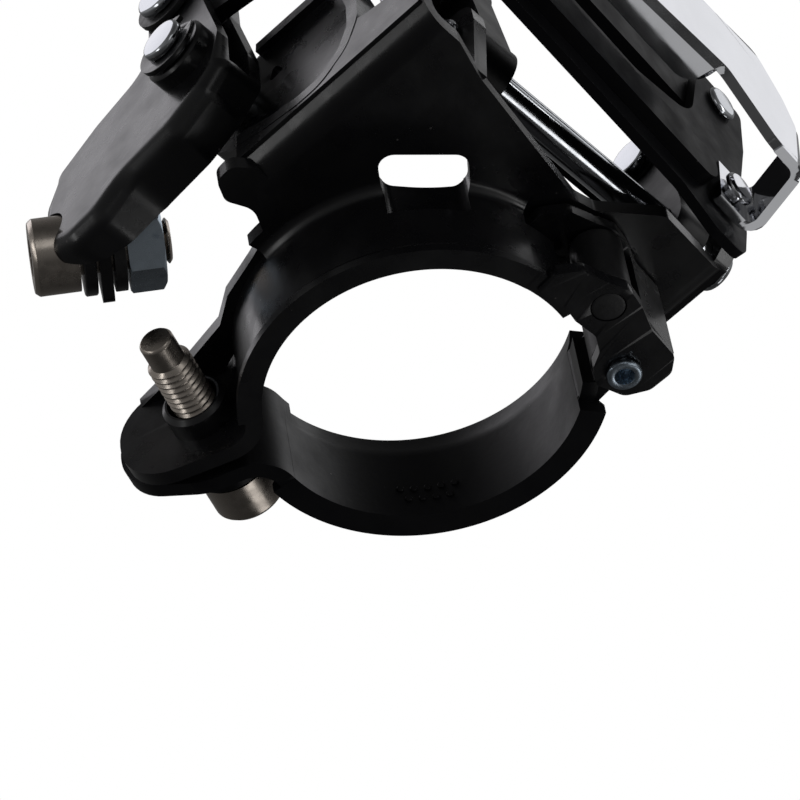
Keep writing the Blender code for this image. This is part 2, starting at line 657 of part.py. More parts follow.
SPRING_R = 3.9
SPRING_WIRE = 1.2
SPRING_TURNS = 5.25
SPRING_Y = (-27.3, -20.0)
SPRING_LEGS = (4.6, 6.0)         # straight legs at the rear and the front end


def make_main_rod():
    return turned([(0, 22.5), (2.1, 22.5), (2.5, 22.1), (2.5, 21.65), (ROD_R, 21.65),
                   (ROD_R, -19.9), (2.7, -19.9), (2.7, -20.6), (2.4, -20.9), (0, -20.9)],
                  pivot_frame(OUTER_FIXED))


def make_outer_link():
    rear = prism(capsule(OUTER_FIXED, 4.0, OUTER_MOVING, LINK_MOVING_R),
                 *LINK_REAR_Y, LINKAGE_XZ)
    front = prism(capsule(OUTER_FIXED, 3.45, OUTER_MOVING, LINK_MOVING_R),
                  *LINK_FRONT_Y, LINKAGE_XZ)
    along = Vector(LINK).normalized()
    offset = Vector((-along.y, along.x)) * LINK_WEB_OFFSET
    web_path = [tuple(Vector(OUTER_FIXED) + along * station + offset)
                for station in LINK_WEB_STATIONS]
    web = prism(strip(web_path, 1.5), LINK_REAR_Y[0] + 0.1, LINK_FRONT_Y[1] - 0.1, LINKAGE_XZ)
    knuckles = [rod_y(*knuckle, steps=24) for knuckle in KNUCKLES]
    return cut(join(rear, web, front, *knuckles),
               rod_y(OUTER_FIXED, -20, 22, ROD_R + FIT),
               rod_y(OUTER_MOVING, -20, 22, PIN_R + FIT))


def make_cage_pin_rear():
    return turned([(0, -11.5), (2.3, -11.5), (2.6, -11.8), (2.6, -12.4), (PIN_R, -12.4),
                   (PIN_R, -34.2), (3.0, -34.2), (3.0, -34.9), (2.6, -35.2), (0, -35.2)],
                  pivot_frame(OUTER_MOVING))


def make_cage_pin_front():
    return turned([(0, 19.3), (2.1, 19.3), (2.4, 19.0), (2.4, 18.6), (PIN_R, 18.6),
                   (PIN_R, 12.7), (2.7, 12.7), (2.7, 12.1), (2.4, 11.8), (0, 11.8)],
                  pivot_frame(OUTER_MOVING))


def make_bushing():
    body = turned([(0, -18.0), (2.9, -18.0), (2.9, -30.6), (4.3, -30.6), (4.3, -31.5),
                   (0, -31.5)], pivot_frame(OUTER_MOVING))
    return cut(body, rod_y(OUTER_MOVING, -34, -15, PIN_R + FIT))


def make_spring():
    rear, front = SPRING_Y
    full = 2 * math.pi * SPRING_TURNS
    count = int(SPRING_TURNS * 14)
    points = [(SPRING_R, -SPRING_LEGS[0], rear)]
    for i in range(count + 1):
        angle = full * i / count
        points.append((SPRING_R * math.cos(angle), SPRING_R * math.sin(angle),
                       rear + (front - rear) * i / count))
    leg = SPRING_LEGS[1]
    points.append((SPRING_R * math.cos(full) - leg * math.sin(full),
                   SPRING_R * math.sin(full) + leg * math.cos(full), front))
    return wire(points, SPRING_WIRE, pivot_frame(OUTER_MOVING))


# ---- inner link and cable arm, one pressed channel ------------------------------
# both flanges: x, z in LINKAGE, corner radius
ARM = [(-5.2, 37.3, 3.6), (2.5, 37.3, 3.6), (3.2, 30, 6), (6.4, 18.6, 4), (6.9, 12.4, 2.0),
       (4.2, 9.3, 3), (-0.6, 6.5, 4), (-16.8, 6.0, 3.5), (-21.2, 9.6, 2.0), (-21.4, 13.0, 2.0),
       (-19.2, 17.4, 3), (-12.7, 20.8, 6), (-4.6, 24.0, 5)]
# mid-line of the web between the flanges
ARM_WEB = [(5.3, 12.9, 0), (3.2, 9.9, 2.5), (-1.0, 7.4, 3.5), (-16.4, 6.9, 3.0),
           (-20.3, 10.0, 1.5), (-20.5, 12.6, 1.5), (-18.9, 15.8, 0)]
CABLE_TAB_Z = (0.3, 1.8)         # tab the cable bolt clamps on, along CABLE_BOLT
RING_GROOVE_R = INNER_PIN_R - 0.5


def make_cable_arm():
    outline = rounded(ARM, steps=5)
    web = prism(strip(rounded(ARM_WEB, steps=5, closed=False), 1.6),
                ARM_REAR_Y[0] + 0.05, ARM_FRONT_Y[1] - 0.05, LINKAGE_XZ)
    boss = rod_y(INNER_FIXED, -38.0, -35.0, 4.1, steps=24)
    body = join(prism(outline, *ARM_REAR_Y, LINKAGE_XZ), prism(outline, *ARM_FRONT_Y, LINKAGE_XZ),
                web, boss)
    # room for the head and the nut of the cable bolt, then the tab between them
    bottom, top = CABLE_TAB_Z
    body = cut(body, cylinder(4.8, bottom, -8, CABLE_BOLT, 28),
               cylinder(5.7, 14, top, CABLE_BOLT, 28))
    body = join(body, cylinder(6.0, top, bottom, CABLE_BOLT, 28))
    return cut(body, cylinder(BOLT_R + FIT, 4, -2, CABLE_BOLT),
               rod_y(INNER_FIXED, -42, -20, INNER_PIN_R + FIT, steps=24),
               rod_y(INNER_MOVING, -42, -20, PIN_R + FIT))


def make_inner_pin():
    radius = INNER_PIN_R
    profile = [(0, -24.9), (2.8, -24.9), (3.1, -25.2), (3.1, -25.9), (radius, -25.9),
               (radius, -38.3), (RING_GROOVE_R, -38.3), (RING_GROOVE_R, -39.1),
               (radius, -39.1), (radius, -39.8), (radius - 0.3, -40.1), (0, -40.1)]
    return turned(profile, pivot_frame(INNER_FIXED), 24)


def make_e_ring():
    frame = pivot_frame(INNER_FIXED)
    body = prism(circle(4.0, 28), -39.0, -38.4, frame, [circle(RING_GROOVE_R + 0.15, 24)])
    slot = prism([(-1.5, 0), (1.5, 0), (2.0, 5), (-2.0, 5)], -40, -37,
                 frame @ Matrix.Rotation(math.radians(60), 4, 'Z'))
    return cut(body, slot)


def make_link_pin():
    return turned([(0, -28.9), (2.2, -28.9), (2.5, -29.1), (2.5, -29.5), (PIN_R, -29.5),
                   (PIN_R, -37.2), (3.3, -37.2), (3.3, -37.9), (2.9, -38.2), (0, -38.2)],
                  pivot_frame(INNER_MOVING))


def make_link_washer():
    return prism(circle(4.3, 24), -36.95, -36.25, pivot_frame(INNER_MOVING),
                 [circle(PIN_R + FIT)])


# ---- cable anchor, stacked along CABLE_BOLT -------------------------------------
CLAMP_PLATE_Z = (2.1, 3.4)
WASHER_Z = (3.7, 5.0)
NUT_Z = (5.3, 9.3)


def make_anchor_bolt():
    return socket_bolt([(0, 10.2), (2.2, 10.2), (BOLT_R, 9.9)], 0.0, CABLE_BOLT)


def make_clamp_plate():
    body = prism(rounded(rectangle(-4.6, -4.4, 4.6, 4.4), 1.2, 3), *CLAMP_PLATE_Z, CABLE_BOLT,
                 [circle(BOLT_R + FIT)])
    groove = rod_x((3.3, 3.65), -6, 6, 0.7, CABLE_BOLT, 10)
    return cut(body, groove)


def make_cable_washer():
    return prism(circle(4.8, 28), *WASHER_Z, CABLE_BOLT, [circle(BOLT_R + FIT)])


def make_cable_nut():
    bottom, top = NUT_Z
    hexagon = prism(circle(5.2, 6, turn=30), bottom, top, CABLE_BOLT)
    chamfers = turned([(0, top), (4.5, top), (5.3, top - 0.5), (5.3, bottom + 0.3),
                       (4.9, bottom), (0, bottom)], CABLE_BOLT, 24)
    return cut(common(hexagon, chamfers), cylinder(BOLT_R + FIT, 12, 5, CABLE_BOLT))


# ---- cage -----------------------------------------------------------------------
# carrier arms: x, z in LINKAGE, corner radius
CARRIER_REAR = [(-4.9, 37.2, 3.5), (2.4, 37.2, 3.5), (20, 32.6, 6), (37.0, 30.4, 0.6),
                (37.0, 23.2, 0.6), (24, 24.2, 4), (17, 25.2, 5), (-2, 30.0, 4),
                (-4.9, 31.6, 3)]
CARRIER_FRONT = [(18.0, 32.0, 3.4), (25.0, 32.0, 4), (31.6, 30.3, 0.6), (31.6, 23.6, 0.6),
                 (25.0, 24.6, 4), (18.0, 25.0, 3.4)]
CARRIER_WEB = rectangle(-38.6, 23.4, 14.0, 30.2)     # y, z in CAGE
CARRIER_WEB_X = (32.2, 33.7)
# cage plates: y, z in CAGE, corner radius
INNER_PLATE = [
    (-62, -7.6, 2.5), (-46, -1.6, 30), (-30, 1.7, 20), (1.5, 1.7, 2.5), (7.4, -0.4, 2.0),
    (12.4, -0.1, 2.0), (13.0, 5.6, 2.0), (12.0, 10.5, 3), (13.6, 22.5, 2), (13.6, 29.9, 1.0),
    (5.8, 30.2, 2), (4.0, 18.0, 5), (-6, 15.0, 6), (-24, 15.6, 6), (-28.4, 22.0, 4),
    (-29.4, 30.2, 1.5), (-40.0, 30.2, 1.5), (-42.0, 20, 5), (-52, 10.5, 10), (-63, 2.5, 2.5)]
OUTER_PLATE = [
    (-62, -8.6, 2.5), (-46, -2.4, 30), (-28, 3.4, 20), (-3.6, 7.8, 3), (4.4, 4.2, 2),
    (8.4, 3.4, 1.0), (8.6, 11.0, 2), (6.4, 14.2, 3), (1.9, 17.9, 3), (-5.2, 17.0, 6),
    (-26, 15.6, 20), (-46, 10.2, 20), (-63, 1.8, 2.5)]
# bulge of the inner plate and the hollow behind it, y, z in CAGE
BULGE = [(-40, 3.6), (-28, 4.7), (5.7, 4.7), (5.7, 9.7), (-28, 9.7), (-40, 8.4)]
HOLLOW = [(-38.6, 5.0), (-28, 6.1), (4.3, 6.1), (4.3, 8.3), (-28, 8.3), (-38.6, 7.2)]
# nose flange's mid-line and the tongue: x, y in CAGE, corner radius
NOSE_PATH = [(CAGE_OUT + 0.62, 5.6, 0), (CAGE_OUT + 0.62, 9.5, 1.8), (36.1, 12.4, 1.4),
             (36.1, 6.4, 0)]
NOSE_Z = (3.6, 10.4)
TONGUE = [(41.2, -4.2, 2.2), (CAGE_OUT + 0.5, -4.2, 0), (CAGE_OUT + 0.5, -34, 0),
          (38.4, -34, 1.5), (38.4, -7.0, 2.2)]
TONGUE_Z = (14.0, 15.2)


def make_carrier():
    body = join(prism(rounded(CARRIER_WEB, 0.6, 2), *CARRIER_WEB_X, CAGE_YZ),
                prism(rounded(CARRIER_REAR), *CARRIER_REAR_Y, LINKAGE_XZ),
                prism(rounded(CARRIER_FRONT), *CARRIER_FRONT_Y, LINKAGE_XZ))
    return cut(body, rod_y(OUTER_MOVING, -40, 25, PIN_R + FIT),
               rod_y(INNER_MOVING, -40, -20, PIN_R + FIT), *carrier_rivet_holes())


def make_carrier_rivet(place):
    shank = CAGE_RIVET_R
    profile = [(0, 4.6), (1.7, 4.6), (2.1, 4.3), (2.1, 3.95), (shank, 3.95), (shank, 0.5),
               (2.0, 0.5), (2.0, 0.1), (1.6, -0.2), (0, -0.2)]
    return turned(profile, cross_cage_frame(place, 31.5), 14)


def make_inner_plate():
    """Plate with a pressed bulge on the outboard side, hollow from the inboard side."""
    plate = prism(rounded(INNER_PLATE), CAGE_IN, CAGE_IN + CAGE_SHEET, CAGE_YZ)
    bulge = prism(rounded(BULGE, 2.2), CAGE_IN + 0.3, CAGE_IN + 2.9, CAGE_YZ)
    bulge = bevelled(bulge, 1.2, 2)
    hollow = prism(rounded(HOLLOW, 1.0, 3), CAGE_IN - 1, CAGE_IN + 1.6, CAGE_YZ)
    return cut(join(plate, bulge), hollow, *carrier_rivet_holes(),
               rod_x(NOSE, 30, 40, CAGE_RIVET_R + FIT, steps=14),
               rod_x(TAIL, 30, 38, TAIL_SCREW_R + FIT, steps=14))


def make_outer_plate():
    """Plate with a nose flange turned inboard, whose foot lies on the inner plate."""
    plate = prism(rounded(OUTER_PLATE), CAGE_OUT, CAGE_OUT + CAGE_SHEET, CAGE_YZ)
    nose = prism(strip(rounded(NOSE_PATH, steps=3, closed=False), 1.16), *NOSE_Z, CAGE)
    tongue = prism(rounded(TONGUE), *TONGUE_Z, CAGE)
    return cut(join(plate, nose, tongue),
               rod_x(NOSE, 34, 40, CAGE_RIVET_R + FIT, steps=14),
               rod_x(TAIL, 42, 47, TAIL_SCREW_R + FIT, steps=14))


def make_nose_rivet():
    shank = CAGE_RIVET_R
    profile = [(0, 4.9), (1.6, 4.9), (2.0, 4.6), (2.0, 4.1), (shank, 4.1), (shank, 0.7),
               (2.0, 0.7), (2.0, 0.2), (1.6, -0.1), (0, -0.1)]
    return turned(profile, cross_cage_frame(NOSE, 33.0), 14)


def make_tail_spacer():
    body = rod_x(TAIL, CAGE_IN + CAGE_SHEET + 0.3, CAGE_OUT - 0.3, 3.2, chamfer=0.4)
    return cut(body, rod_x(TAIL, 30, 50, TAIL_SCREW_R + FIT, steps=16))


def make_tail_screw():
    frame = cross_cage_frame(TAIL)
    seat = CAGE_OUT + CAGE_SHEET + 0.3
    profile = [(0, seat + 1.8), (1.8, seat + 1.8), (2.6, seat + 1.2), (2.8, seat),
               (TAIL_SCREW_R, seat), (TAIL_SCREW_R, CAGE_IN - 1.6), (1.2, CAGE_IN - 1.9),
               (0, CAGE_IN - 1.9)]
    return cut_cross(turned(profile, frame, 18), 1.4, 0.3, seat + 0.9, seat + 3, frame)


# ---- materials and finishing ----------------------------------------------------
MATERIALS = {
    "black_paint": dict(color=(0.012, 0.012, 0.014), roughness=0.28, metallic=0.0),
    "bright_zinc": dict(color=(0.72, 0.74, 0.76), roughness=0.18, metallic=1.0),
    "nickel": dict(color=(0.62, 0.56, 0.50), roughness=0.24, metallic=1.0),
    "blue_zinc": dict(color=(0.52, 0.60, 0.68), roughness=0.30, metallic=1.0),
    "chrome": dict(color=(0.80, 0.81, 0.83), roughness=0.08, metallic=1.0),
    "black_plastic": dict(color=(0.02, 0.02, 0.021), roughness=0.5, metallic=0.0),
    "spring_steel": dict(color=(0.45, 0.45, 0.46), roughness=0.3, metallic=1.0),
}


def new_material(name, color, roughness, metallic):
    material = bpy.data.materials.new(name)
    material.use_nodes = True
    inputs = material.node_tree.nodes["Principled BSDF"].inputs
    inputs["Base Color"].default_value = (*color, 1)
    inputs["Roughness"].default_value = roughness
    inputs["Metallic"].default_value = metallic
    return material


def finish(ob, name, look, joint):
    """Name the piece, give it its own material and put its origin on its joint axis."""
    ob.name = name
    ob.data.name = name
    ob.data.materials.clear()
    ob.data.materials.append(new_material(name + "_" + look, **MATERIALS[look]))
    ob.data.shade_smooth()
    ob.data.set_sharp_from_angle(angle=math.radians(35))
    if joint is not None:
        origin = Vector(joint) * MM
        ob.data.transform(Matrix.Translation(-origin))
        ob.location = origin


# ---- build ------------------------------------------------------------------------
def in_linkage(x, y, z):
    return LINKAGE @ Vector((x, y, z))


# joints, the origins of the pieces that turn or screw
AT_HINGE = (*HINGE_XY, 0)
AT_CLAMP = EAR_DIR * CLAMP_BOLT_X
AT_CABLE = in_linkage(*CABLE_BOLT_SEAT)
AT_OUTER_FIXED = in_linkage(OUTER_FIXED[0], 0, OUTER_FIXED[1])
AT_INNER_FIXED = in_linkage(INNER_FIXED[0], -30, INNER_FIXED[1])
AT_OUTER_MOVING = in_linkage(OUTER_MOVING[0], 0, OUTER_MOVING[1])
AT_INNER_MOVING = in_linkage(INNER_MOVING[0], -30, INNER_MOVING[1])
AT_LIMIT = [in_linkage(x, LIMIT_Y, 24) for x in LIMIT_X]

# name, material, joint, maker and the maker's arguments
PIECES = [
    ("clamp_bracket", "black_paint", None, make_bracket),
    ("clamp_band", "black_paint", AT_HINGE, make_band),
    ("band_hinge_clevis", "black_paint", None, make_clevis),
    ("band_hinge_pin", "blue_zinc", AT_HINGE, make_hinge_pin),
    ("clevis_stud", "black_plastic", None, make_stud),
    ("clamp_bolt", "nickel", AT_CLAMP, make_clamp_bolt),
    ("pivot_support", "black_paint", None, make_pivot_support),
    ("support_rivet_a", "black_paint", None, make_support_rivet, SUPPORT_RIVET_X[0]),
    ("support_rivet_b", "black_paint", None, make_support_rivet, SUPPORT_RIVET_X[1]),
    ("limit_screw_low", "bright_zinc", AT_LIMIT[0], make_limit_screw, LIMIT_X[0]),
    ("limit_screw_high", "bright_zinc", AT_LIMIT[1], make_limit_screw, LIMIT_X[1]),
    ("carrier_rivet_rear", "bright_zinc", None, make_carrier_rivet, CARRIER_RIVETS[0]),
    ("carrier_rivet_front", "bright_zinc", None, make_carrier_rivet, CARRIER_RIVETS[1]),
    ("main_pivot_rod", "bright_zinc", AT_OUTER_FIXED, make_main_rod),
    ("outer_link", "black_paint", AT_OUTER_FIXED, make_outer_link),
    ("cage_pin_rear", "bright_zinc", AT_OUTER_MOVING, make_cage_pin_rear),
    ("cage_pin_front", "bright_zinc", AT_OUTER_MOVING, make_cage_pin_front),
    ("spring_bushing", "black_plastic", AT_OUTER_MOVING, make_bushing),
    ("return_spring", "spring_steel", AT_OUTER_MOVING, make_spring),
    ("cable_arm", "black_paint", AT_INNER_FIXED, make_cable_arm),
    ("inner_pivot_pin", "bright_zinc", AT_INNER_FIXED, make_inner_pin),
    ("pivot_e_ring", "black_paint", AT_INNER_FIXED, make_e_ring),
    ("link_pin", "bright_zinc", AT_INNER_MOVING, make_link_pin),
    ("link_washer", "black_plastic", AT_INNER_MOVING, make_link_washer),
    ("cable_anchor_bolt", "nickel", AT_CABLE, make_anchor_bolt),
    ("cable_clamp_plate", "black_paint", AT_CABLE, make_clamp_plate),
    ("cable_washer", "black_plastic", AT_CABLE, make_cable_washer),
    ("cable_nut", "blue_zinc", AT_CABLE, make_cable_nut),
    ("cage_carrier", "black_paint", AT_OUTER_MOVING, make_carrier),
    ("cage_inner_plate", "black_paint", None, make_inner_plate),
    ("cage_outer_plate", "chrome", None, make_outer_plate),
    ("nose_rivet", "chrome", None, make_nose_rivet),
    ("tail_spacer", "bright_zinc", None, make_tail_spacer),
    ("tail_screw", "bright_zinc", None, make_tail_screw),
]


def centre_on_ground():
    """Put the origin at the middle of the bottom of the bounding box."""
    bpy.context.view_layer.update()
    points = [ob.matrix_world @ v.co for ob in PARTS.objects for v in ob.data.vertices]
    low = Vector([min(p[i] for p in points) for i in range(3)])
    high = Vector([max(p[i] for p in points) for i in range(3)])
    for ob in PARTS.objects:
        ob.location -= Vector(((low.x + high.x) / 2, (low.y + high.y) / 2, low.z))


def build():
    for ob in list(bpy.data.objects):
        bpy.data.objects.remove(ob)
    bpy.context.scene.collection.children.link(PARTS)
    for name, look, joint, maker, *arguments in PIECES:
        finish(maker(*arguments), name, look, joint)
    centre_on_ground()


build()
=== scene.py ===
"""Looks of the front derailleur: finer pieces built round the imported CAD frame.

Lengths are millimetres in the drawing frame of the part (origin on the clamp axis at the
band's mid height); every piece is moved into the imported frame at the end.
"""
import json
import math

import bpy
import bmesh
from mathutils import Matrix, Vector

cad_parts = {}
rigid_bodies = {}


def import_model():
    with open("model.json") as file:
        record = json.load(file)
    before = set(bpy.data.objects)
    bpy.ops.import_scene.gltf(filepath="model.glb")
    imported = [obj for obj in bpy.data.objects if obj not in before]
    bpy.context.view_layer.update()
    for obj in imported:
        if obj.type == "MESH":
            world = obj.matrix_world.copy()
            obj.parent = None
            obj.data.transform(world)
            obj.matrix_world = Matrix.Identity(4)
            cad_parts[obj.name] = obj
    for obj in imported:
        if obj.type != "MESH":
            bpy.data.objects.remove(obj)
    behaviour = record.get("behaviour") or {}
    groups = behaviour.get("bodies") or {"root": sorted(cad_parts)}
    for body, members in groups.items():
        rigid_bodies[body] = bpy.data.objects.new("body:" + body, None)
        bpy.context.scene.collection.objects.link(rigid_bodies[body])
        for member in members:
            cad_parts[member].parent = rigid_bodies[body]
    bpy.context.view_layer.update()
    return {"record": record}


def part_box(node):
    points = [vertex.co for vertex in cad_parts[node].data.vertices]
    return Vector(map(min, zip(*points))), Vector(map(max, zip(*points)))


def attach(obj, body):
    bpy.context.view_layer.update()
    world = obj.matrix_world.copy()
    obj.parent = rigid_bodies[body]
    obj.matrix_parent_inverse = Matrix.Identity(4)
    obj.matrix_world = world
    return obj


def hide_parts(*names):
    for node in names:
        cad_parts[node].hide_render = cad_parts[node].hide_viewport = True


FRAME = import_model()

MM = 0.001

# ---- driving dimensions (mm, degrees) ---------------------------------------
TUBE_D = 34.9          # seat tube the clamp closes on
BAND_R = TUBE_D / 2    # inner radius of the closed band
SHEET = 1.9            # band and bracket sheet
BAND_Z = 6.7           # half height of the band
EAR_ANG = 202.0        # direction of the clamp ears from the tube axis
BOLT_U = 23.8          # clamp bolt axis from the tube axis
EAR_END = (33.6, 34.8)    # ends of the fixed and the hinged clamp ear
EAR_GAP = 0.65         # half of the gap between the ears
EAR_MID = 0.95         # the gap's middle, from the tube axis towards the rear
HINGE_XY = (15.9, 14.6)   # band hinge pin
STUD_XY = (21.2, 6.8)     # stud that holds the hinge clevis to the bracket
TILT = 10.0            # pivot pins rise to the rear by this angle
CAGE_YAW = 7.0         # cage turned from the pins by this angle
PLATE_Z = (5.0, 6.8)   # bracket plate
F1 = (24.4, 12.7)      # outer fixed pivot, x and z in L
F2 = (1.55, 17.8)      # inner fixed pivot
LINK = (-2.9, 15.8)    # both links, from the fixed to the moving pivot
M1 = (F1[0] + LINK[0], F1[1] + LINK[1])
M2 = (F2[0] + LINK[0], F2[1] + LINK[1])
ROD_R = 2.0            # outer fixed pivot rod
F2_R = 2.6             # inner fixed pivot pin
PIN_R = 1.9            # moving pivot pins
SUP_Y = (-27.8, -26.2)    # wall of the pivot support, y in L
ARM_R = (-36.0, -34.4)    # rear flange of the cable arm, y in L
ARM_F = (-31.4, -29.8)    # front flange of the cable arm, y in L
CAR_R = (-33.8, -32.0)    # rear arm of the cage carrier, y in L
CAR_F = (16.7, 18.3)      # front arm of the cage carrier, y in L
BOLT_P = (-19.7, -31.9, 7.6)       # cable bolt, underside of the head, in L
BOLT_D = (0.729, 0.668, 0.152)     # direction from the head to the nut, in L
FIT = 0.07             # running clearance between facetted pins and holes
CAGE_IN = 34.0         # inboard face of the inner cage plate, x in C
CAGE_T = 1.2           # cage sheet
CAGE_OUT = 44.2        # inboard face of the outer cage plate
NC = 48                # segments of a round hole or pin

W = Matrix.Identity(4)
L = Matrix.Rotation(math.radians(-TILT), 4, 'X')
C = L @ Matrix.Rotation(math.radians(CAGE_YAW), 4, 'Z')
# axes of a flat outline drawn in the x-z plane and made thick along y
XZ = Matrix(((1, 0, 0, 0), (0, 0, 1, 0), (0, 1, 0, 0), (0, 0, 0, 1)))
# y-z plane, thick along x
YZ = Matrix(((0, 0, 1, 0), (1, 0, 0, 0), (0, 1, 0, 0), (0, 0, 0, 1)))


def axis_frame(origin, direction, base=None):
    """Frame whose z runs along direction from origin (mm), inside base."""
    z = Vector(direction).normalized()
    x = Vector((0, 0, 1)).cross(z)
    if x.length < 1e-6:
        x = Vector((1, 0, 0))
    x.normalize()
    y = z.cross(x)
    m = Matrix((x, y, z)).transposed().to_4x4()
    m.translation = Vector(origin)
    return (base or W) @ m


def world(m):
    """A millimetre frame as a metre frame."""
    r = m.copy()
    r.translation = m.translation * MM
    return r


# ---- outlines ----------------------------------------------------------------
def arc(cx, cy, r, a0, a1, n):
    """Points on an arc, degrees, both ends included."""
    n = n * 3
    return [(cx + r * math.cos(math.radians(a0 + (a1 - a0) * i / n)),
             cy + r * math.sin(math.radians(a0 + (a1 - a0) * i / n))) for i in range(n + 1)]


def circle(cx, cy, r, n=None, turn=0.0):
    n = n if n and n < 10 else max(n or NC, NC)
    return [(cx + r * math.cos(math.radians(turn + 360.0 * i / n)),
             cy + r * math.sin(math.radians(turn + 360.0 * i / n))) for i in range(n)]


def rounded(points, radii, seg=4, closed=True):
    """Polygon or path with each corner replaced by an arc of its radius."""
    n = len(points)
    seg = seg * 2
    if not isinstance(radii, (list, tuple)):
        radii = [radii] * n
    out = []
    for i, p in enumerate(points):
        r = radii[i]
        if r <= 0 or (not closed and i in (0, n - 1)):
            out.append(p)
            continue
        a = Vector(points[i - 1]) - Vector(p)
        b = Vector(points[(i + 1) % n]) - Vector(p)
        la, lb = a.length, b.length
        a.normalize()
        b.normalize()
        half = math.acos(max(-1, min(1, a.dot(b)))) / 2
        if abs(half - math.pi / 2) < 1e-3:
            out.append(p)
            continue
        d = min(r / math.tan(half), la * 0.49, lb * 0.49)
        r2 = d * math.tan(half)
        c = Vector(p) + (a + b).normalized() * (r2 / math.sin(half))
        s = Vector(p) + a * d - c
        e = Vector(p) + b * d - c
        a0 = math.atan2(s.y, s.x)
        da = math.atan2(e.y, e.x) - a0
        while da > math.pi:
            da -= 2 * math.pi
        while da < -math.pi:
            da += 2 * math.pi
        for k in range(seg + 1):
            t = a0 + da * k / seg
            out.append((c.x + r2 * math.cos(t), c.y + r2 * math.sin(t)))
    return out


def strip(path, t):
    """Outline of a strip of thickness t along a path of mid-line points."""
    left, right = [], []
    n = len(path)
    for i, p in enumerate(path):
        a = Vector(path[max(i - 1, 0)])
        b = Vector(path[min(i + 1, n - 1)])
        d = (b - a).normalized()
        nrm = Vector((-d.y, d.x))
        k = 1.0
        if 0 < i < n - 1:
            d1 = (Vector(p) - a).normalized()
            k = 1.0 / max(0.3, abs(nrm.dot(Vector((-d1.y, d1.x)))))
        left.append(tuple(Vector(p) + nrm * t / 2 * k))
        right.append(tuple(Vector(p) - nrm * t / 2 * k))
    return left + right[::-1]


# ---- solids ------------------------------------------------------------------
PARTS = bpy.data.collections.new("visual")
bpy.context.scene.collection.children.link(PARTS)


def link_to(obj, coll):
    for c in list(obj.users_collection):
        c.objects.unlink(obj)
    coll.objects.link(obj)


def clean(me, dist=2e-6):
    bm = bmesh.new()
    bm.from_mesh(me)
    bmesh.ops.remove_doubles(bm, verts=bm.verts, dist=dist)
    bmesh.ops.recalc_face_normals(bm, faces=bm.faces)
    bm.to_mesh(me)
    bm.free()
    me.update()


def evaluated(obj):
    """Replace an object by a plain mesh of what its modifiers or curve make."""
    bpy.context.view_layer.update()
    dg = bpy.context.evaluated_depsgraph_get()
    me = bpy.data.meshes.new_from_object(obj.evaluated_get(dg))
    name, mat = obj.name, obj.matrix_world.copy()
    bpy.data.objects.remove(obj)
    new = bpy.data.objects.new(name, me)
    PARTS.objects.link(new)
    new.matrix_world = mat
    return new


def prism(outline, z0, z1, frame=W, holes=(), name="solid"):
    """Flat outline with holes, made thick from z0 to z1 along the frame's z."""
    cu = bpy.data.curves.new(name, 'CURVE')
    cu.dimensions = '2D'
    cu.fill_mode = 'BOTH'
    cu.extrude = (z1 - z0) / 2 * MM
    for pts in [outline] + list(holes):
        sp = cu.splines.new('POLY')
        sp.points.add(len(pts) - 1)
        for q, p in zip(sp.points, pts):
            q.co = (p[0] * MM, p[1] * MM, 0, 1)
        sp.use_cyclic_u = True
    ob = bpy.data.objects.new(name, cu)
    PARTS.objects.link(ob)
    ob.matrix_world = world(frame @ Matrix.Translation((0, 0, (z0 + z1) / 2)))
    ob = evaluated(ob)
    bake(ob)
    clean(ob.data)
    return ob


def bake(ob):
    """Move the object's placement into its mesh."""
    ob.data.transform(ob.matrix_world)
    if ob.matrix_world.determinant() < 0:
        ob.data.flip_normals()
    ob.matrix_world = Matrix.Identity(4)
    return ob


def turned(profile, frame=W, steps=None, name="turned"):
    """Solid turned about the frame's z; profile runs (radius, z) from top to bottom."""
    me = bpy.data.meshes.new(name)
    me.from_pydata([(r * MM, 0, z * MM) for r, z in profile],
                   [(i, i + 1) for i in range(len(profile) - 1)], [])
    ob = bpy.data.objects.new(name, me)
    PARTS.objects.link(ob)
    m = ob.modifiers.new("Screw", 'SCREW')
    m.axis = 'Z'
    m.steps = m.render_steps = max(steps or NC, NC)
    m.use_merge_vertices = True
    m.merge_threshold = 1e-6
    ob.matrix_world = world(frame)
    ob = evaluated(ob)
    bake(ob)
    clean(ob.data)
    return ob


def rod(p, q, r, base=W, steps=None, chamfer=0.0, name="rod"):
    """Cylinder from p to q, with an optional chamfer at both ends."""
    p, q = Vector(p), Vector(q)
    h = (q - p).length
    c = chamfer
    if c > 0:
        prof = [(0, h), (r - c, h), (r, h - c), (r, c), (r - c, 0), (0, 0)]
    else:
        prof = [(0, h), (r, h), (r, 0), (0, 0)]
    return turned(prof, axis_frame(p, q - p, base), steps, name)


def sweep(section, a0, a1, n, frame=W, name="sweep"):
    """Closed section (radius, z) swept about the frame's z from a0 to a1 degrees."""
    n = n * 3
    bm = bmesh.new()
    c0, s0 = math.cos(math.radians(a0)), math.sin(math.radians(a0))
    vs = [bm.verts.new((r * c0 * MM, r * s0 * MM, z * MM)) for r, z in section]
    f = bm.faces.new(vs)
    bmesh.ops.spin(bm, geom=[f] + list(f.edges) + vs, cent=(0, 0, 0), axis=(0, 0, 1),
                   angle=math.radians(a1 - a0), steps=n, use_duplicate=False)
    me = bpy.data.meshes.new(name)
    bm.to_mesh(me)
    bm.free()
    ob = bpy.data.objects.new(name, me)
    PARTS.objects.link(ob)
    ob.matrix_world = world(frame)
    bake(ob)
    clean(ob.data)
    return ob


def boolean(a, b, op):
    m = a.modifiers.new("Boolean", 'BOOLEAN')
    m.operation = op
    m.solver = 'EXACT'
    m.object = b
    out = evaluated(a)
    bpy.data.objects.remove(b)
    clean(out.data, 1e-6)
    return out


def join(first, *others):
    for o in others:
        first = boolean(first, o, 'UNION')
    return first


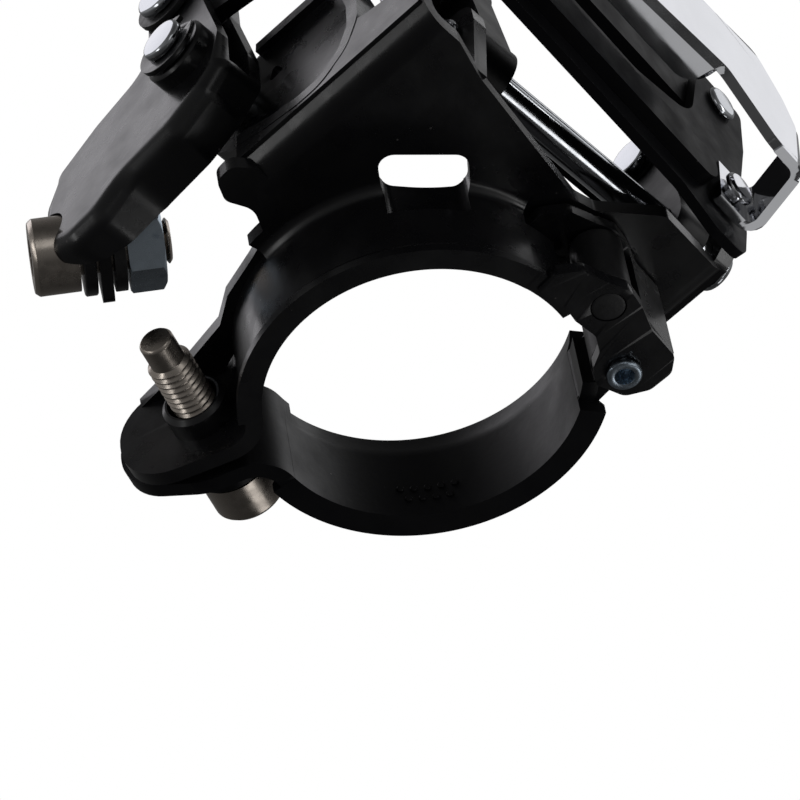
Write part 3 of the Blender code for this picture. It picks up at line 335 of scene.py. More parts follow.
def cut(first, *others):
    for o in others:
        first = boolean(first, o, 'DIFFERENCE')
    return first


def common(first, other):
    return boolean(first, other, 'INTERSECT')


def bevel(ob, width, seg=1, angle=32):
    m = ob.modifiers.new("Bevel", 'BEVEL')
    m.width = width * MM
    m.segments = seg
    m.limit_method = 'ANGLE'
    m.angle_limit = math.radians(angle)
    m.use_clamp_overlap = True
    return evaluated(ob)


def coil(r, wire, turns, y0, y1, frame, name="coil", legs=()):
    """Torsion coil about the frame's z, from y0 to y1, with straight legs."""
    n = int(turns * 14)
    pts = [(r * math.cos(2 * math.pi * turns * i / n), r * math.sin(2 * math.pi * turns * i / n),
            y0 + (y1 - y0) * i / n) for i in range(n + 1)]
    if legs:
        pts = [legs[0]] + pts + [legs[1]]
    cu = bpy.data.curves.new(name, 'CURVE')
    cu.dimensions = '3D'
    cu.bevel_depth = wire / 2 * MM
    cu.bevel_resolution = 2
    cu.use_fill_caps = True
    sp = cu.splines.new('POLY')
    sp.points.add(len(pts) - 1)
    for q, p in zip(sp.points, pts):
        q.co = (p[0] * MM, p[1] * MM, p[2] * MM, 1)
    ob = bpy.data.objects.new(name, cu)
    PARTS.objects.link(ob)
    ob.matrix_world = world(frame)
    ob = evaluated(ob)
    bake(ob)
    clean(ob.data)
    return ob


def in_world(frame, p):
    return tuple((frame @ Vector(p)))


# ---- directions of the clamp ears and bolt -----------------------------------
EAR = Vector((math.cos(math.radians(EAR_ANG)), math.sin(math.radians(EAR_ANG)), 0))
BOLT = Vector((-EAR.y, EAR.x, 0))            # towards the rear, where the bolt's point shows
EARF = Matrix((EAR, BOLT, Vector((0, 0, 1)))).transposed().to_4x4()   # x = u, y = s, z = z
BOLTF = axis_frame(EAR * BOLT_U, BOLT)


def ear_path(side, mid, rho, a_end, n):
    """Mid-line of a half band: along the ear, round the bend and on round the tube."""
    rm = BAND_R + SHEET / 2
    u = math.sqrt((rm + rho) ** 2 - (mid + rho) ** 2)
    th = math.degrees(math.asin((mid + rho) / (rm + rho)))
    pts = [(EAR_END[0 if side > 0 else 1], mid), (u, mid)]
    pts += arc(u, mid + rho, rho, -90, -90 - (90 - th), 4)[1:]
    pts += arc(0, 0, rm, th, a_end, n)[1:]
    return [(x, side * y) for x, y in pts]


def ear_round(side):
    """Prism that rounds the ear's end, drawn in the u-z plane."""
    if side > 0:
        pts = [(4, -BAND_Z - 1), (4, BAND_Z + 1), (20, BAND_Z + 1), (20, BAND_Z), (EAR_END[0], BAND_Z), (EAR_END[0], -BAND_Z + 0.4),
               (22, -BAND_Z), (20, -BAND_Z - 1)]
    else:
        pts = [(4, -BAND_Z - 1), (4, BAND_Z + 1), (20, BAND_Z + 1), (20, BAND_Z), (EAR_END[1], BAND_Z), (EAR_END[1], -2.4),
               (26.5, -6.4), (18, -BAND_Z - 1)]
    return prism(rounded(pts, [0, 0, 0, 0, 6.4, 6.4, 8 if side < 0 else 0, 0], 5), -24, 24, EARF @ XZ)


def at_ear(u, s):
    """Point u along the ears and s towards the rear, in W."""
    p = EAR * u + BOLT * s
    return (p.x, p.y)


# ---- 1 clamp bracket ----------------------------------------------------------
RIVET_X = (14.0, 18.2)   # rivets between the bracket's rear flange and the pivot support
RIVET_Z = 5.7


HOOK = [(3.4, 2.0), (3.4, 4.6), (8.6, 8.2), (11.3, 15.6), (11.2, 23.6), (19.6, 23.6), (20.4, 16.2), (19.9, 9.6), (31.0, 7.2), (31.0, 2.0)]


def make_bracket():
    t = PLATE_Z[1] - PLATE_Z[0]
    zm = (PLATE_Z[0] + PLATE_Z[1]) / 2
    st, ct = math.sin(math.radians(TILT)), math.cos(math.radians(TILT))
    path = rounded([(-28.4 + st * 6.0, zm + ct * 6.0), (-28.4, zm), (21.7, zm), (21.7 + st * 4.0, zm + ct * 4.0)],
                   2.6, 4, closed=False)
    plate = prism(strip(path, t), -6, 36, YZ)
    plan = rounded([(3.4, -31.0), (31.6, -31.0), (30.9, -23.2), (28.9, -18.2), (23.6, 1.9), (23.9, 4.6),
                    (28.2, 11.2), (25.6, 26), (16.6, 26), (17.6, 17.2), (10.0, 12.0), (-3.0, 0.0), (-1.6, -20.0), (3.4, -23.0)],
                   [0, 1.5, 2.0, 2.0, 2.2, 1.6, 1.6, 1.0, 1.2, 2.0, 0, 0, 3.0, 0.5], 4)
    plate = common(plate, prism(plan, -2, 22))
    # flat lug beside the turned-up rear flange
    lug = prism(rounded([(5.0, -20.0), (5.0, -28.2), (3.6, -30.4), (1.2, -30.2), (-0.2, -27.6), (0.9, -24.4), (-1.5, -20.0)], [0, 0, 1.5, 1.5, 1.5, 2.5, 0], 4),
                PLATE_Z[0] + 0.04, PLATE_Z[1] - 0.04)
    plate = join(plate, lug)
    plate = cut(plate, prism(circle(0, 0, 19.2, 48), -3, 24))
    # hooked wall that stands on the rear flange
    hook = prism(rounded(HOOK, [0, 1.0, 3.0, 5.0, 2.5, 2.5, 5.0, 4.0, 2.0, 0], 4), -29.87, -28.13, L @ XZ)
    # ears that hold the outer pivot rod
    rear = prism(rounded([(19.6, 2.8), (29.0, 2.8), (29.0, 12.7), (28.4, 16.9), (20.4, 16.9), (19.8, 12.7)], [0, 0, 3, 3.5, 3.5, 3], 4),
                 -19.6, -17.8, L @ XZ)
    front = prism(rounded([(17.0, 9.7), (26.6, 9.7), (28.8, 12.4), (28.6, 17.0), (20.4, 17.0), (17.0, 13.6)], [0.5, 1.0, 3, 3.5, 3.5, 1.5], 4),
                  19.4, 21.32, L @ XZ)
    plate = join(plate, hook, rear, front)
    # collar drawn down from the plate, with a small outward lip at its lower edge
    low = [(BAND_R, -BAND_Z), (20.1, -BAND_Z), (20.1, -5.7), (19.35, -4.6)]
    sec = low + [(19.35, 3.6)] + arc(20.75, 3.6, 1.4, 180, 92, 3)[1:]
    sec += [(21.6, PLATE_Z[0] + 0.03), (21.6, PLATE_Z[1] - 0.03), (19.95, PLATE_Z[1] - 0.03)]
    sec += arc(19.95, 4.3, 2.5, 92, 180, 3)[1:]
    collar = sweep(sec, 262, 354, 28)
    sec2 = low + [(19.35, 5.2), (19.6, BAND_Z), (BAND_R, BAND_Z)]
    collar2 = sweep(sec2, 219, 263, 13)
    sec3 = [(BAND_R, PLATE_Z[0] + 0.05), (21.6, PLATE_Z[0] + 0.05), (21.6, PLATE_Z[1] - 0.05), (BAND_R, PLATE_Z[1] - 0.05)]
    collar3 = sweep(sec3, 352, 402, 15)
    mid = EAR_MID + EAR_GAP + SHEET / 2
    ear = prism(strip(ear_path(1, mid, 4.0, 22.0, 3), SHEET * 0.985), -BAND_Z + 0.03, BAND_Z - 0.03, EARF)
    ear = common(ear, ear_round(1))
    # flange that runs on from the plate, along the collar to the ear
    web = [(18.4 * math.cos(math.radians(a)), 18.4 * math.sin(math.radians(a))) for a in range(268, 221, -5)]
    web += [at_ear(22.0, mid), at_ear(30.4, mid), at_ear(30.6, mid + 0.9), at_ear(27.6, mid + 2.4), at_ear(22.8, mid + 4.6),
            at_ear(18.2, mid + 7.4), (-9.6, -18.3), (-4.6, -19.7), (-1.2, -20.8)]
    web = prism(web, PLATE_Z[0] + 0.1, BAND_Z - 0.1)
    boss = rod((BOLT_U, mid, 0), (BOLT_U, mid + SHEET / 2 + 2.8, 0), 3.7, EARF, 20, 0.5)
    body = join(collar, collar2, collar3, plate, ear, web, boss)
    cuts = [rod((BOLT_U, -3, 0), (BOLT_U, 14, 0), 2.5 + 0.45, EARF, NC)]
    win = rounded([(14.5, -19.4), (20.7, -11.7), (17.1, -7.7), (11.1, -15.2)], 1.6, 4)
    cuts.append(prism(win, 1.0, 9.0))
    cuts.append(prism(circle(19.0, 5.4, 1.0, 12), 4.4, 9.0))
    cuts.append(prism(circle(STUD_XY[0], STUD_XY[1], 1.5 + FIT, 14), 4.0, 9.0))
    cuts.append(rod((F1[0], -24, F1[1]), (F1[0], 26, F1[1]), ROD_R + FIT, L))
    for x in RIVET_X:
        cuts.append(rod((x, -31, RIVET_Z), (x, -24, RIVET_Z), 0.9 + FIT, L, 14))
    # shallow groove in the plate's upper face below the outer link's front knuckle
    cuts.append(rod((F1[0], 12.6, F1[1]), (F1[0], 17.9, F1[1]), 3.9, L, 28))
    return cut(body, *cuts)


# ---- 2 hinged half band ------------------------------------------------------
SEAT_S = -4.3     # face of the band's ear that the clamp bolt's head pulls on


def make_band():
    sec = [(BAND_R, -BAND_Z), (20.4, -BAND_Z), (20.4, -5.4), (19.7, -4.5), (19.35, -3.6), (19.35, 3.2),
           (19.9, 4.6), (20.3, BAND_Z), (18.3, BAND_Z), (17.95, 4.6), (BAND_R, 3.0)]
    ring = sweep(sec, 59.0, EAR_ANG - 13.5, 34)
    mid = SHEET / 2 + EAR_GAP - EAR_MID
    ear = prism(strip(ear_path(-1, mid, 4.0, 18.0, 3), SHEET * 0.985), -BAND_Z + 0.03, BAND_Z - 0.03, EARF)
    ear = common(ear, ear_round(-1))
    seat = rod((BOLT_U, -mid, 0), (BOLT_U, SEAT_S, 0), 4.7, EARF, 20, 0.3)
    hx, hy = HINGE_XY
    eye = rod((hx, hy, -4.9), (hx, hy, 2.7), 3.3, W, 20)
    arm = prism(strip([(9.2, 15.9), (12.4, 15.6), (hx, hy)], 2.3), -4.88, 2.68)
    body = join(ring, ear, seat, eye, arm)
    tube = prism(circle(0, 0, BAND_R - 0.03, 72), -9, 9)
    return cut(body, tube, rod((hx, hy, -9), (hx, hy, 9), 1.6 + FIT),
               rod((BOLT_U, 3, 0), (BOLT_U, -9, 0), 2.5 + 0.45, EARF))


# ---- 3 hinge clevis, its pin and stud -----------------------------------------
LEAF = [(17.95, -0.9), (20.6, -1.1), (23.0, 1.0), (23.6, 4.4), (24.3, 7.0), (23.5, 9.6), (21.9, 12.8), (20.9, 17.4), (19.0, 18.9),
        (15.9, 18.8), (13.5, 17.2), (12.7, 13.6), (14.2, 11.6), (16.2, 10.6), (17.5, 8.6), (17.6, 5.4), (18.3, 3.0)]


def make_clevis():
    out = rounded(LEAF, [0.5, 1.2, 1.5, 2, 2, 2, 2, 1.5, 1.5, 1.5, 1.5, 1.0, 0.8, 1.0, 1.0, 0.8, 1.0], 3)
    low = prism(out, -6.9, -5.4)
    far = prism(out, 3.1, 4.5)
    wall = prism(strip(rounded([(22.0, 10.9), (21.2, 13.6), (20.2, 17.4)], 2.0, 3, closed=False), 1.2), -6.2, 4.0)
    body = join(low, far, wall)
    return cut(body, rod((HINGE_XY[0], HINGE_XY[1], -9), (HINGE_XY[0], HINGE_XY[1], 9), 1.6 + FIT),
               rod((STUD_XY[0], STUD_XY[1], 0), (STUD_XY[0], STUD_XY[1], 9), 1.5 + FIT, W, 14),
               rod((STUD_XY[0], STUD_XY[1], -9), (STUD_XY[0], STUD_XY[1], 0), 1.9 + FIT))


def make_hinge_pin():
    x, y = HINGE_XY
    body = turned([(0, 4.75), (1.35, 4.75), (1.6, 4.5), (1.6, -7.15), (1.95, -7.15), (1.95, -7.6), (1.8, -7.8), (0, -7.8)],
                  Matrix.Translation((x, y, 0)))
    return cut(body, rod((x, y, -9), (x, y, -5.0), 1.1, W, 16))


def make_stud():
    x, y = STUD_XY
    return turned([(0, 8.0), (2.2, 8.0), (2.6, 7.6), (2.6, 7.1), (1.5, 7.1), (1.5, 2.8), (2.9, 2.8), (2.9, -5.1), (1.9, -5.1),
                   (1.9, -7.2), (2.5, -7.2), (2.5, -7.6), (2.2, -7.9), (0, -7.9)],
                  Matrix.Translation((x, y, 0)))


def make_clamp_bolt():
    s0 = SEAT_S - 0.3
    body = turned([(0, 15.8), (1.75, 15.8), (1.95, 15.6), (1.95, 12.6), (2.5, 11.9), (2.5, s0), (4.25, s0), (4.25, s0 - 4.6),
                   (3.9, s0 - 5.0), (0, s0 - 5.0)], BOLTF, 24)
    return cut(body, prism(circle(0, 0, 2.31, 6), s0 - 6.0, s0 - 2.4, BOLTF))


# ---- 4 pivot support: pressed wall that carries the inner link ------------------
SUP = [(-3.4, 17.8), (-2.6, 12.6), (1.4, 8.8), (12.0, 8.4), (12.0, 4.1), (20.4, 4.1), (20.6, 8.0), (19.4, 12.0), (19.2, 19.0), (15.4, 25.0), (4.0, 25.0), (1.0, 22.6), (-2.2, 21.4)]
LIM_X = (7.0, 12.4)      # limit screws
LIM_Y = -24.75


def make_pivot_support():
    out = rounded(SUP, [3, 3, 2, 1.0, 1.0, 1.2, 2, 3, 4, 3, 2, 3, 3], 4)
    body = prism(out, SUP_Y[0], SUP_Y[1], L @ XZ)
    rim = strip(rounded([(18.1, 9.6), (18.3, 18.6), (15.4, 23.4)], [0, 3, 0], 4, closed=False), 1.5)
    rim = prism(rim, SUP_Y[0] + 0.4, SUP_Y[1] + 2.7, L @ XZ)
    top = prism([(4.6, -28.7), (14.8, -28.7), (14.8, -22.9), (4.6, -22.9)], 24.2, 25.8, L)
    body = join(body, rim, top)
    cuts = [rod((F2[0], -30, F2[1]), (F2[0], -20, F2[1]), F2_R + FIT, L, 24),
            prism(rounded([(6.0, 17.2), (8.2, 17.6), (6.6, 20.2)], 0.4, 2), -30, -25, L @ XZ)]
    for x in LIM_X:
        cuts.append(rod((x, LIM_Y, 22), (x, LIM_Y, 28), 1.3 + FIT, L, 14))
    for x in RIVET_X:
        cuts.append(rod((x, -31, RIVET_Z), (x, -24, RIVET_Z), 0.9 + FIT, L, 14))
    return cut(body, *cuts)


def make_support_rivet(i):
    f = axis_frame((RIVET_X[i], -30.5, RIVET_Z), (0, 1, 0), L)
    return turned([(0, 5.1), (1.3, 5.1), (1.5, 4.9), (1.5, 4.45), (0.9, 4.45), (0.9, 0.45), (1.5, 0.45), (1.5, 0.1), (1.2, -0.1), (0, -0.1)], f, 14)


def make_limit_screw(i):
    f = axis_frame((LIM_X[i], LIM_Y, 0), (0, 0, 1), L)
    body = turned([(0, 28.1), (1.7, 28.1), (2.0, 27.7), (2.0, 26.1), (1.3, 26.1), (1.3, 20.9), (1.0, 20.5), (0, 20.5)], f, 16)
    return cut(body, prism([(-1.3, -0.25), (1.3, -0.25), (1.3, 0.25), (-1.3, 0.25)], 27.3, 29, f),
               prism([(-0.25, -1.3), (0.25, -1.3), (0.25, 1.3), (-0.25, 1.3)], 27.25, 29.1, f))


# ---- 5 outer link ---------------------------------------------------------------
def make_main_rod():
    f = axis_frame((F1[0], 0, F1[1]), (0, 1, 0), L)
    return turned([(0, 22.5), (2.1, 22.5), (2.5, 22.1), (2.5, 21.65), (ROD_R, 21.65), (ROD_R, -19.9), (2.7, -19.9), (2.7, -20.6), (2.4, -20.9), (0, -20.9)], f)


def hull2(p, rp, q, rq, n=10):
    """Outline round two circles."""
    d = Vector(q) - Vector(p)
    a = math.degrees(math.atan2(d.y, d.x))
    b = math.degrees(math.acos((rp - rq) / d.length))
    return arc(p[0], p[1], rp, a + b, a + 360 - b, n) + arc(q[0], q[1], rq, a - b, a + b, n)


def make_outer_link():
    arm = hull2(F1, 4.0, M1, 3.6)
    rear = prism(arm, -17.0, -13.2, L @ XZ)
    front = prism(hull2(F1, 3.45, M1, 3.6), 13.3, 15.7, L @ XZ)
    parts = [rod((F1[0], a, F1[1]), (F1[0], b, F1[1]), r, L, 24) for a, b, r in ((-17.5, -12.5, 4.05), (13.0, 17.5, 3.5))]
    parts += [rod((M1[0], a, M1[1]), (M1[0], b, M1[1]), 3.65, L, 24) for a, b in ((-17.5, -12.8), (13.1, 16.3))]
    d = Vector(LINK).normalized()
    n = Vector((-d.y, d.x))
    mid = [tuple(Vector(F1) + d * t + n * 3.0) for t in (4.6, 9.0, 13.6)]
    web = prism(strip(mid, 1.5), -16.9, 15.6, L @ XZ)
    body = join(rear, web, front, *parts)
    return cut(body, rod((F1[0], -20, F1[1]), (F1[0], 22, F1[1]), ROD_R + FIT, L, 20),
               rod((M1[0], -20, M1[1]), (M1[0], 22, M1[1]), PIN_R + FIT, L, 20))


def make_cage_pin_rear():
    f = axis_frame((M1[0], 0, M1[1]), (0, 1, 0), L)
    return turned([(0, -11.5), (2.3, -11.5), (2.6, -11.8), (2.6, -12.4), (PIN_R, -12.4), (PIN_R, -34.2), (3.0, -34.2), (3.0, -34.9), (2.6, -35.2), (0, -35.2)], f)


def make_cage_pin_front():
    f = axis_frame((M1[0], 0, M1[1]), (0, 1, 0), L)
    return turned([(0, 19.3), (2.1, 19.3), (2.4, 19.0), (2.4, 18.6), (PIN_R, 18.6), (PIN_R, 12.7), (2.7, 12.7), (2.7, 12.1), (2.4, 11.8), (0, 11.8)], f)


def make_bushing():
    f = axis_frame((M1[0], 0, M1[1]), (0, 1, 0), L)
    body = turned([(0, -18.0), (2.9, -18.0), (2.9, -30.6), (4.3, -30.6), (4.3, -31.5), (0, -31.5)], f)
    return cut(body, rod((M1[0], -34, M1[1]), (M1[0], -15, M1[1]), PIN_R + FIT, L))


def make_spring():
    f = axis_frame((M1[0], 0, M1[1]), (0, 1, 0), L)
    t, r = 5.25, 3.9
    a = 2 * math.pi * t
    end = (r * math.cos(a) - 6.0 * math.sin(a), r * math.sin(a) + 6.0 * math.cos(a), -20.0)
    return coil(r, 1.2, t, -27.3, -20.0, f, legs=((r, -4.6, -27.3), end))


# ---- 6 inner link and cable arm, one pressed channel ----------------------------
ARM = [(-5.2, 37.3), (2.5, 37.3), (3.2, 30), (6.4, 18.6), (6.9, 12.4), (4.2, 9.3), (-0.6, 6.5), (-16.8, 6.0), (-21.2, 9.6), (-21.4, 13.0), (-19.2, 17.4), (-12.7, 20.8), (-4.6, 24.0)]
ARM_RAD = [3.6, 3.6, 6, 4, 2.0, 3, 4, 3.5, 2.0, 2.0, 3, 6, 5]


def make_cable_arm():
    out = rounded(ARM, ARM_RAD, 5)
    rear = prism(out, ARM_R[0], ARM_R[1], L @ XZ)
    front = prism(out, ARM_F[0], ARM_F[1], L @ XZ)
    ridge = rounded([(5.3, 12.9), (3.2, 9.9), (-1.0, 7.4), (-16.4, 6.9), (-20.3, 10.0), (-20.5, 12.6), (-18.9, 15.8)], [0, 2.5, 3.5, 3.0, 1.5, 1.5, 0], 5, closed=False)
    web = prism(strip(ridge, 1.6), ARM_R[0] + 0.05, ARM_F[1] - 0.05, L @ XZ)
    boss = rod((F2[0], -38.0, F2[1]), (F2[0], -35.0, F2[1]), 4.1, L, 24)
    body = join(rear, front, web, boss)
    bf = axis_frame(BOLT_P, BOLT_D, L)
    # room for the head and the nut of the cable bolt, then the tab it clamps on
    body = cut(body, turned([(0, 0.3), (4.8, 0.3), (4.8, -8), (0, -8)], bf, 28), turned([(0, 14), (5.7, 14), (5.7, 1.8), (0, 1.8)], bf, 28))
    tab = turned([(0, 1.8), (6.0, 1.8), (6.0, 0.3), (0, 0.3)], bf, 28)
    body = join(body, tab)
    return cut(body, turned([(0, 4), (2.5 + FIT, 4), (2.5 + FIT, -2), (0, -2)], bf),
               rod((F2[0], -42, F2[1]), (F2[0], -20, F2[1]), F2_R + FIT, L, 24),
               rod((M2[0], -42, M2[1]), (M2[0], -20, M2[1]), PIN_R + FIT, L))


def make_inner_pin():
    f = axis_frame((F2[0], 0, F2[1]), (0, 1, 0), L)
    r = F2_R
    return turned([(0, -24.9), (2.8, -24.9), (3.1, -25.2), (3.1, -25.9), (r, -25.9), (r, -38.3), (r - 0.5, -38.3), (r - 0.5, -39.1), (r, -39.1), (r, -39.8), (r - 0.3, -40.1), (0, -40.1)], f, 24)


def make_e_ring():
    f = axis_frame((F2[0], 0, F2[1]), (0, 1, 0), L)
    body = prism(circle(0, 0, 4.0, 28), -39.0, -38.4, f, [circle(0, 0, F2_R - 0.5 + 0.15, 24)])
    slot = prism(rounded([(-1.5, 0), (1.5, 0), (2.0, 5), (-2.0, 5)], 0), -40, -37, f @ Matrix.Rotation(math.radians(60), 4, 'Z'))
    return cut(body, slot)


def make_link_pin():
    f = axis_frame((M2[0], 0, M2[1]), (0, 1, 0), L)
    return turned([(0, -28.9), (2.2, -28.9), (2.5, -29.1), (2.5, -29.5), (PIN_R, -29.5), (PIN_R, -37.2), (3.3, -37.2), (3.3, -37.9), (2.9, -38.2), (0, -38.2)], f)


def make_link_washer():
    f = axis_frame((M2[0], 0, M2[1]), (0, 1, 0), L)
    return prism(circle(0, 0, 4.3, 24), -36.95, -36.25, f, [circle(0, 0, PIN_R + FIT)])


# ---- 7 cable anchor ---------------------------------------------------------------
BF = axis_frame(BOLT_P, BOLT_D, L)


def make_anchor_bolt():
    body = turned([(0, 10.2), (2.2, 10.2), (2.5, 9.9), (2.5, 0.0), (4.25, 0.0), (4.25, -4.6), (3.9, -5.0), (0, -5.0)], BF, 24)
    return cut(body, prism(circle(0, 0, 2.31, 6), -6, -2.4, BF))


def make_clamp_plate():
    out = rounded([(-4.6, -4.4), (4.6, -4.4), (4.6, 4.4), (-4.6, 4.4)], 1.2, 3)
    body = prism(out, 2.1, 3.4, BF, [circle(0, 0, 2.5 + FIT)])
    groove = rod((-6, 3.3, 3.65), (6, 3.3, 3.65), 0.7, BF, 10)
    return cut(body, groove)


def make_cable_washer():
    return prism(circle(0, 0, 4.8, 28), 3.7, 5.0, BF, [circle(0, 0, 2.5 + FIT)])


def make_cable_nut():
    hexa = prism(circle(0, 0, 5.2, 6, 30), 5.3, 9.3, BF)
    lim = turned([(0, 9.3), (4.5, 9.3), (5.3, 8.8), (5.3, 5.6), (4.9, 5.3), (0, 5.3)], BF, 24)
    return cut(common(hexa, lim), turned([(0, 12), (2.5 + FIT, 12), (2.5 + FIT, 5), (0, 5)], BF))


# ---- 8 cage -------------------------------------------------------------------------
CX = C @ YZ
RIV_C = ((-33.0, 26.8), (9.4, 26.8))    # rivets of the carrier web, y and z in C


def make_carrier():
    rear = rounded([(-4.9, 37.2), (2.4, 37.2), (20, 32.6), (37.0, 30.4), (37.0, 23.2), (24, 24.2), (17, 25.2), (-2, 30.0), (-4.9, 31.6)],
                   [3.5, 3.5, 6, 0.6, 0.6, 4, 5, 4, 3], 4)
    rear = prism(rear, CAR_R[0], CAR_R[1], L @ XZ)
    front = rounded([(18.0, 32.0), (25.0, 32.0), (31.6, 30.3), (31.6, 23.6), (25.0, 24.6), (18.0, 25.0)], [3.4, 4, 0.6, 0.6, 4, 3.4], 4)
    front = prism(front, CAR_F[0], CAR_F[1], L @ XZ)
    web = prism(rounded([(-38.6, 23.4), (14.0, 23.4), (14.0, 30.2), (-38.6, 30.2)], 0.6, 2), 32.2, 33.7, CX)
    body = join(web, rear, front)
    cuts = [rod((M1[0], -40, M1[1]), (M1[0], 25, M1[1]), PIN_R + FIT, L), rod((M2[0], -40, M2[1]), (M2[0], -20, M2[1]), PIN_R + FIT, L)]
    for y, z in RIV_C:
        cuts.append(rod((30, y, z), (37, y, z), 1.2 + FIT, C, 14))
    return cut(body, *cuts)


def make_carrier_rivet(i):
    f = axis_frame((31.5, RIV_C[i][0], RIV_C[i][1]), (1, 0, 0), C)
    return turned([(0, 4.6), (1.7, 4.6), (2.1, 4.3), (2.1, 3.95), (1.2, 3.95), (1.2, 0.5), (2.0, 0.5), (2.0, 0.1), (1.6, -0.2), (0, -0.2)], f, 14)


INNER = [(-62, -7.6), (-46, -1.6), (-30, 1.7), (1.5, 1.7), (7.4, -0.4), (12.4, -0.1), (13.0, 5.6), (12.0, 10.5), (13.6, 22.5), (13.6, 29.9),
         (5.8, 30.2), (4.0, 18.0), (-6, 15.0), (-24, 15.6), (-28.4, 22.0), (-29.4, 30.2), (-40.0, 30.2), (-42.0, 20), (-52, 10.5), (-63, 2.5)]
INNER_R = [2.5, 30, 20, 2.5, 2.0, 2.0, 2.0, 3, 2, 1.0, 2, 5, 6, 6, 4, 1.5, 1.5, 5, 10, 2.5]
NOSE = (8.8, 7.0)      # rivet between the nose flange and the inner plate, y and z in C
TAIL = (-57.5, -1.6)   # tail screw, y and z in C


def make_inner_plate():
    a, b = CAGE_IN, CAGE_IN + CAGE_T
    body = prism(rounded(INNER, INNER_R, 4), a, b, CX)
    # pressed bulge that guides the chain
    lo, hi = CAGE_IN + 0.3, CAGE_IN + 2.9
    rim = prism(rounded([(-40, 3.6), (-28, 4.7), (5.7, 4.7), (5.7, 9.7), (-28, 9.7), (-40, 8.4)], 2.2, 4), lo, hi, CX)
    rim = bevel(rim, 1.2, 2)
    # pressed bulge, hollow from the inboard side
    dish = prism(rounded([(-38.6, 5.0), (-28, 6.1), (4.3, 6.1), (4.3, 8.3), (-28, 8.3), (-38.6, 7.2)], 1.0, 3), CAGE_IN - 1, CAGE_IN + 1.6, CX)
    body = cut(join(body, rim), dish)
    cuts = [rod((30, y, z), (37, y, z), 1.2 + FIT, C, 14) for y, z in RIV_C]
    cuts.append(rod((30, NOSE[0], NOSE[1]), (40, NOSE[0], NOSE[1]), 1.2 + FIT, C, 14))
    cuts.append(rod((30, TAIL[0], TAIL[1]), (38, TAIL[0], TAIL[1]), 1.5 + FIT, C, 14))
    return cut(body, *cuts)


OUTER = [(-62, -8.6), (-46, -2.4), (-28, 3.4), (-3.6, 7.8), (4.4, 4.2), (8.4, 3.4), (8.6, 11.0), (6.4, 14.2), (1.9, 17.9), (-5.2, 17.0),
         (-26, 15.6), (-46, 10.2), (-63, 1.8)]


def make_outer_plate():
    a, b = CAGE_OUT, CAGE_OUT + CAGE_T
    body = prism(rounded(OUTER, [2.5, 30, 20, 3, 2, 1.0, 2, 3, 3, 6, 20, 20, 2.5], 4), a, b, CX)
    # nose: a flange turned inboard, with a foot lying on the inner plate
    path = rounded([(CAGE_OUT + 0.62, 5.6), (CAGE_OUT + 0.62, 9.5), (36.1, 12.4), (36.1, 6.4)], [0, 1.8, 1.4, 0], 3, closed=False)
    nose = prism(strip(path, 1.16), 3.6, 10.4, C)
    tongue = prism(rounded([(41.2, -4.2), (CAGE_OUT + 0.5, -4.2), (CAGE_OUT + 0.5, -34), (38.4, -34), (38.4, -7.0)], [2.2, 0, 0, 1.5, 2.2], 4), 14.0, 15.2, C)
    body = join(body, nose, tongue)
    return cut(body, rod((34, NOSE[0], NOSE[1]), (40, NOSE[0], NOSE[1]), 1.2 + FIT, C, 14),
               rod((42, TAIL[0], TAIL[1]), (47, TAIL[0], TAIL[1]), 1.5 + FIT, C, 14))


def make_nose_rivet():
    f = axis_frame((33.0, NOSE[0], NOSE[1]), (1, 0, 0), C)
    return turned([(0, 4.9), (1.6, 4.9), (2.0, 4.6), (2.0, 4.1), (1.2, 4.1), (1.2, 0.7), (2.0, 0.7), (2.0, 0.2), (1.6, -0.1), (0, -0.1)], f, 14)


def make_tail_spacer():
    a, b = CAGE_IN + CAGE_T + 0.3, CAGE_OUT - 0.3
    body = rod((a, TAIL[0], TAIL[1]), (b, TAIL[0], TAIL[1]), 3.2, C, 20, 0.4)
    return cut(body, rod((30, TAIL[0], TAIL[1]), (50, TAIL[0], TAIL[1]), 1.5 + FIT, C, 16))


def make_tail_screw():
    f = axis_frame((0, TAIL[0], TAIL[1]), (1, 0, 0), C)
    e = CAGE_OUT + CAGE_T + 0.3
    body = turned([(0, e + 1.8), (1.8, e + 1.8), (2.6, e + 1.2), (2.8, e), (1.5, e), (1.5, CAGE_IN - 1.6), (1.2, CAGE_IN - 1.9), (0, CAGE_IN - 1.9)], f, 18)
    return cut(body, prism([(-1.4, -0.3), (1.4, -0.3), (1.4, 0.3), (-1.4, 0.3)], e + 0.9, e + 3, f),
               prism([(-0.3, -1.4), (0.3, -1.4), (0.3, 1.4), (-0.3, 1.4)], e + 0.85, e + 3.1, f))



# ---- materials ---------------------------------------------------------------------
def nodes_of(name):
    m = bpy.data.materials.new(name)
    m.use_nodes = True
    nt = m.node_tree
    return m, nt, nt.nodes["Principled BSDF"]


def tex_coords(nt, scale=(1, 1, 1)):
    tc = nt.nodes.new("ShaderNodeTexCoord")
    mp = nt.nodes.new("ShaderNodeMapping")
    mp.inputs["Scale"].default_value = scale
    nt.links.new(tc.outputs["Object"], mp.inputs["Vector"])
    return mp.outputs["Vector"]


def noise(nt, vec, scale, detail=2.0, rough=0.5):
    n = nt.nodes.new("ShaderNodeTexNoise")
    n.inputs["Scale"].default_value = scale
    n.inputs["Detail"].default_value = detail
    n.inputs["Roughness"].default_value = rough
    nt.links.new(vec, n.inputs["Vector"])
    return n.outputs["Fac"]


def ramp(nt, fac, stops):
    r = nt.nodes.new("ShaderNodeValToRGB")
    e = r.color_ramp.elements
    while len(e) < len(stops):
        e.new(0.5)
    for el, (p, c) in zip(e, stops):
        el.position = p
        el.color = (c, c, c, 1) if isinstance(c, (int, float)) else (*c, 1)
    nt.links.new(fac, r.inputs["Fac"])
    return r.outputs["Color"]


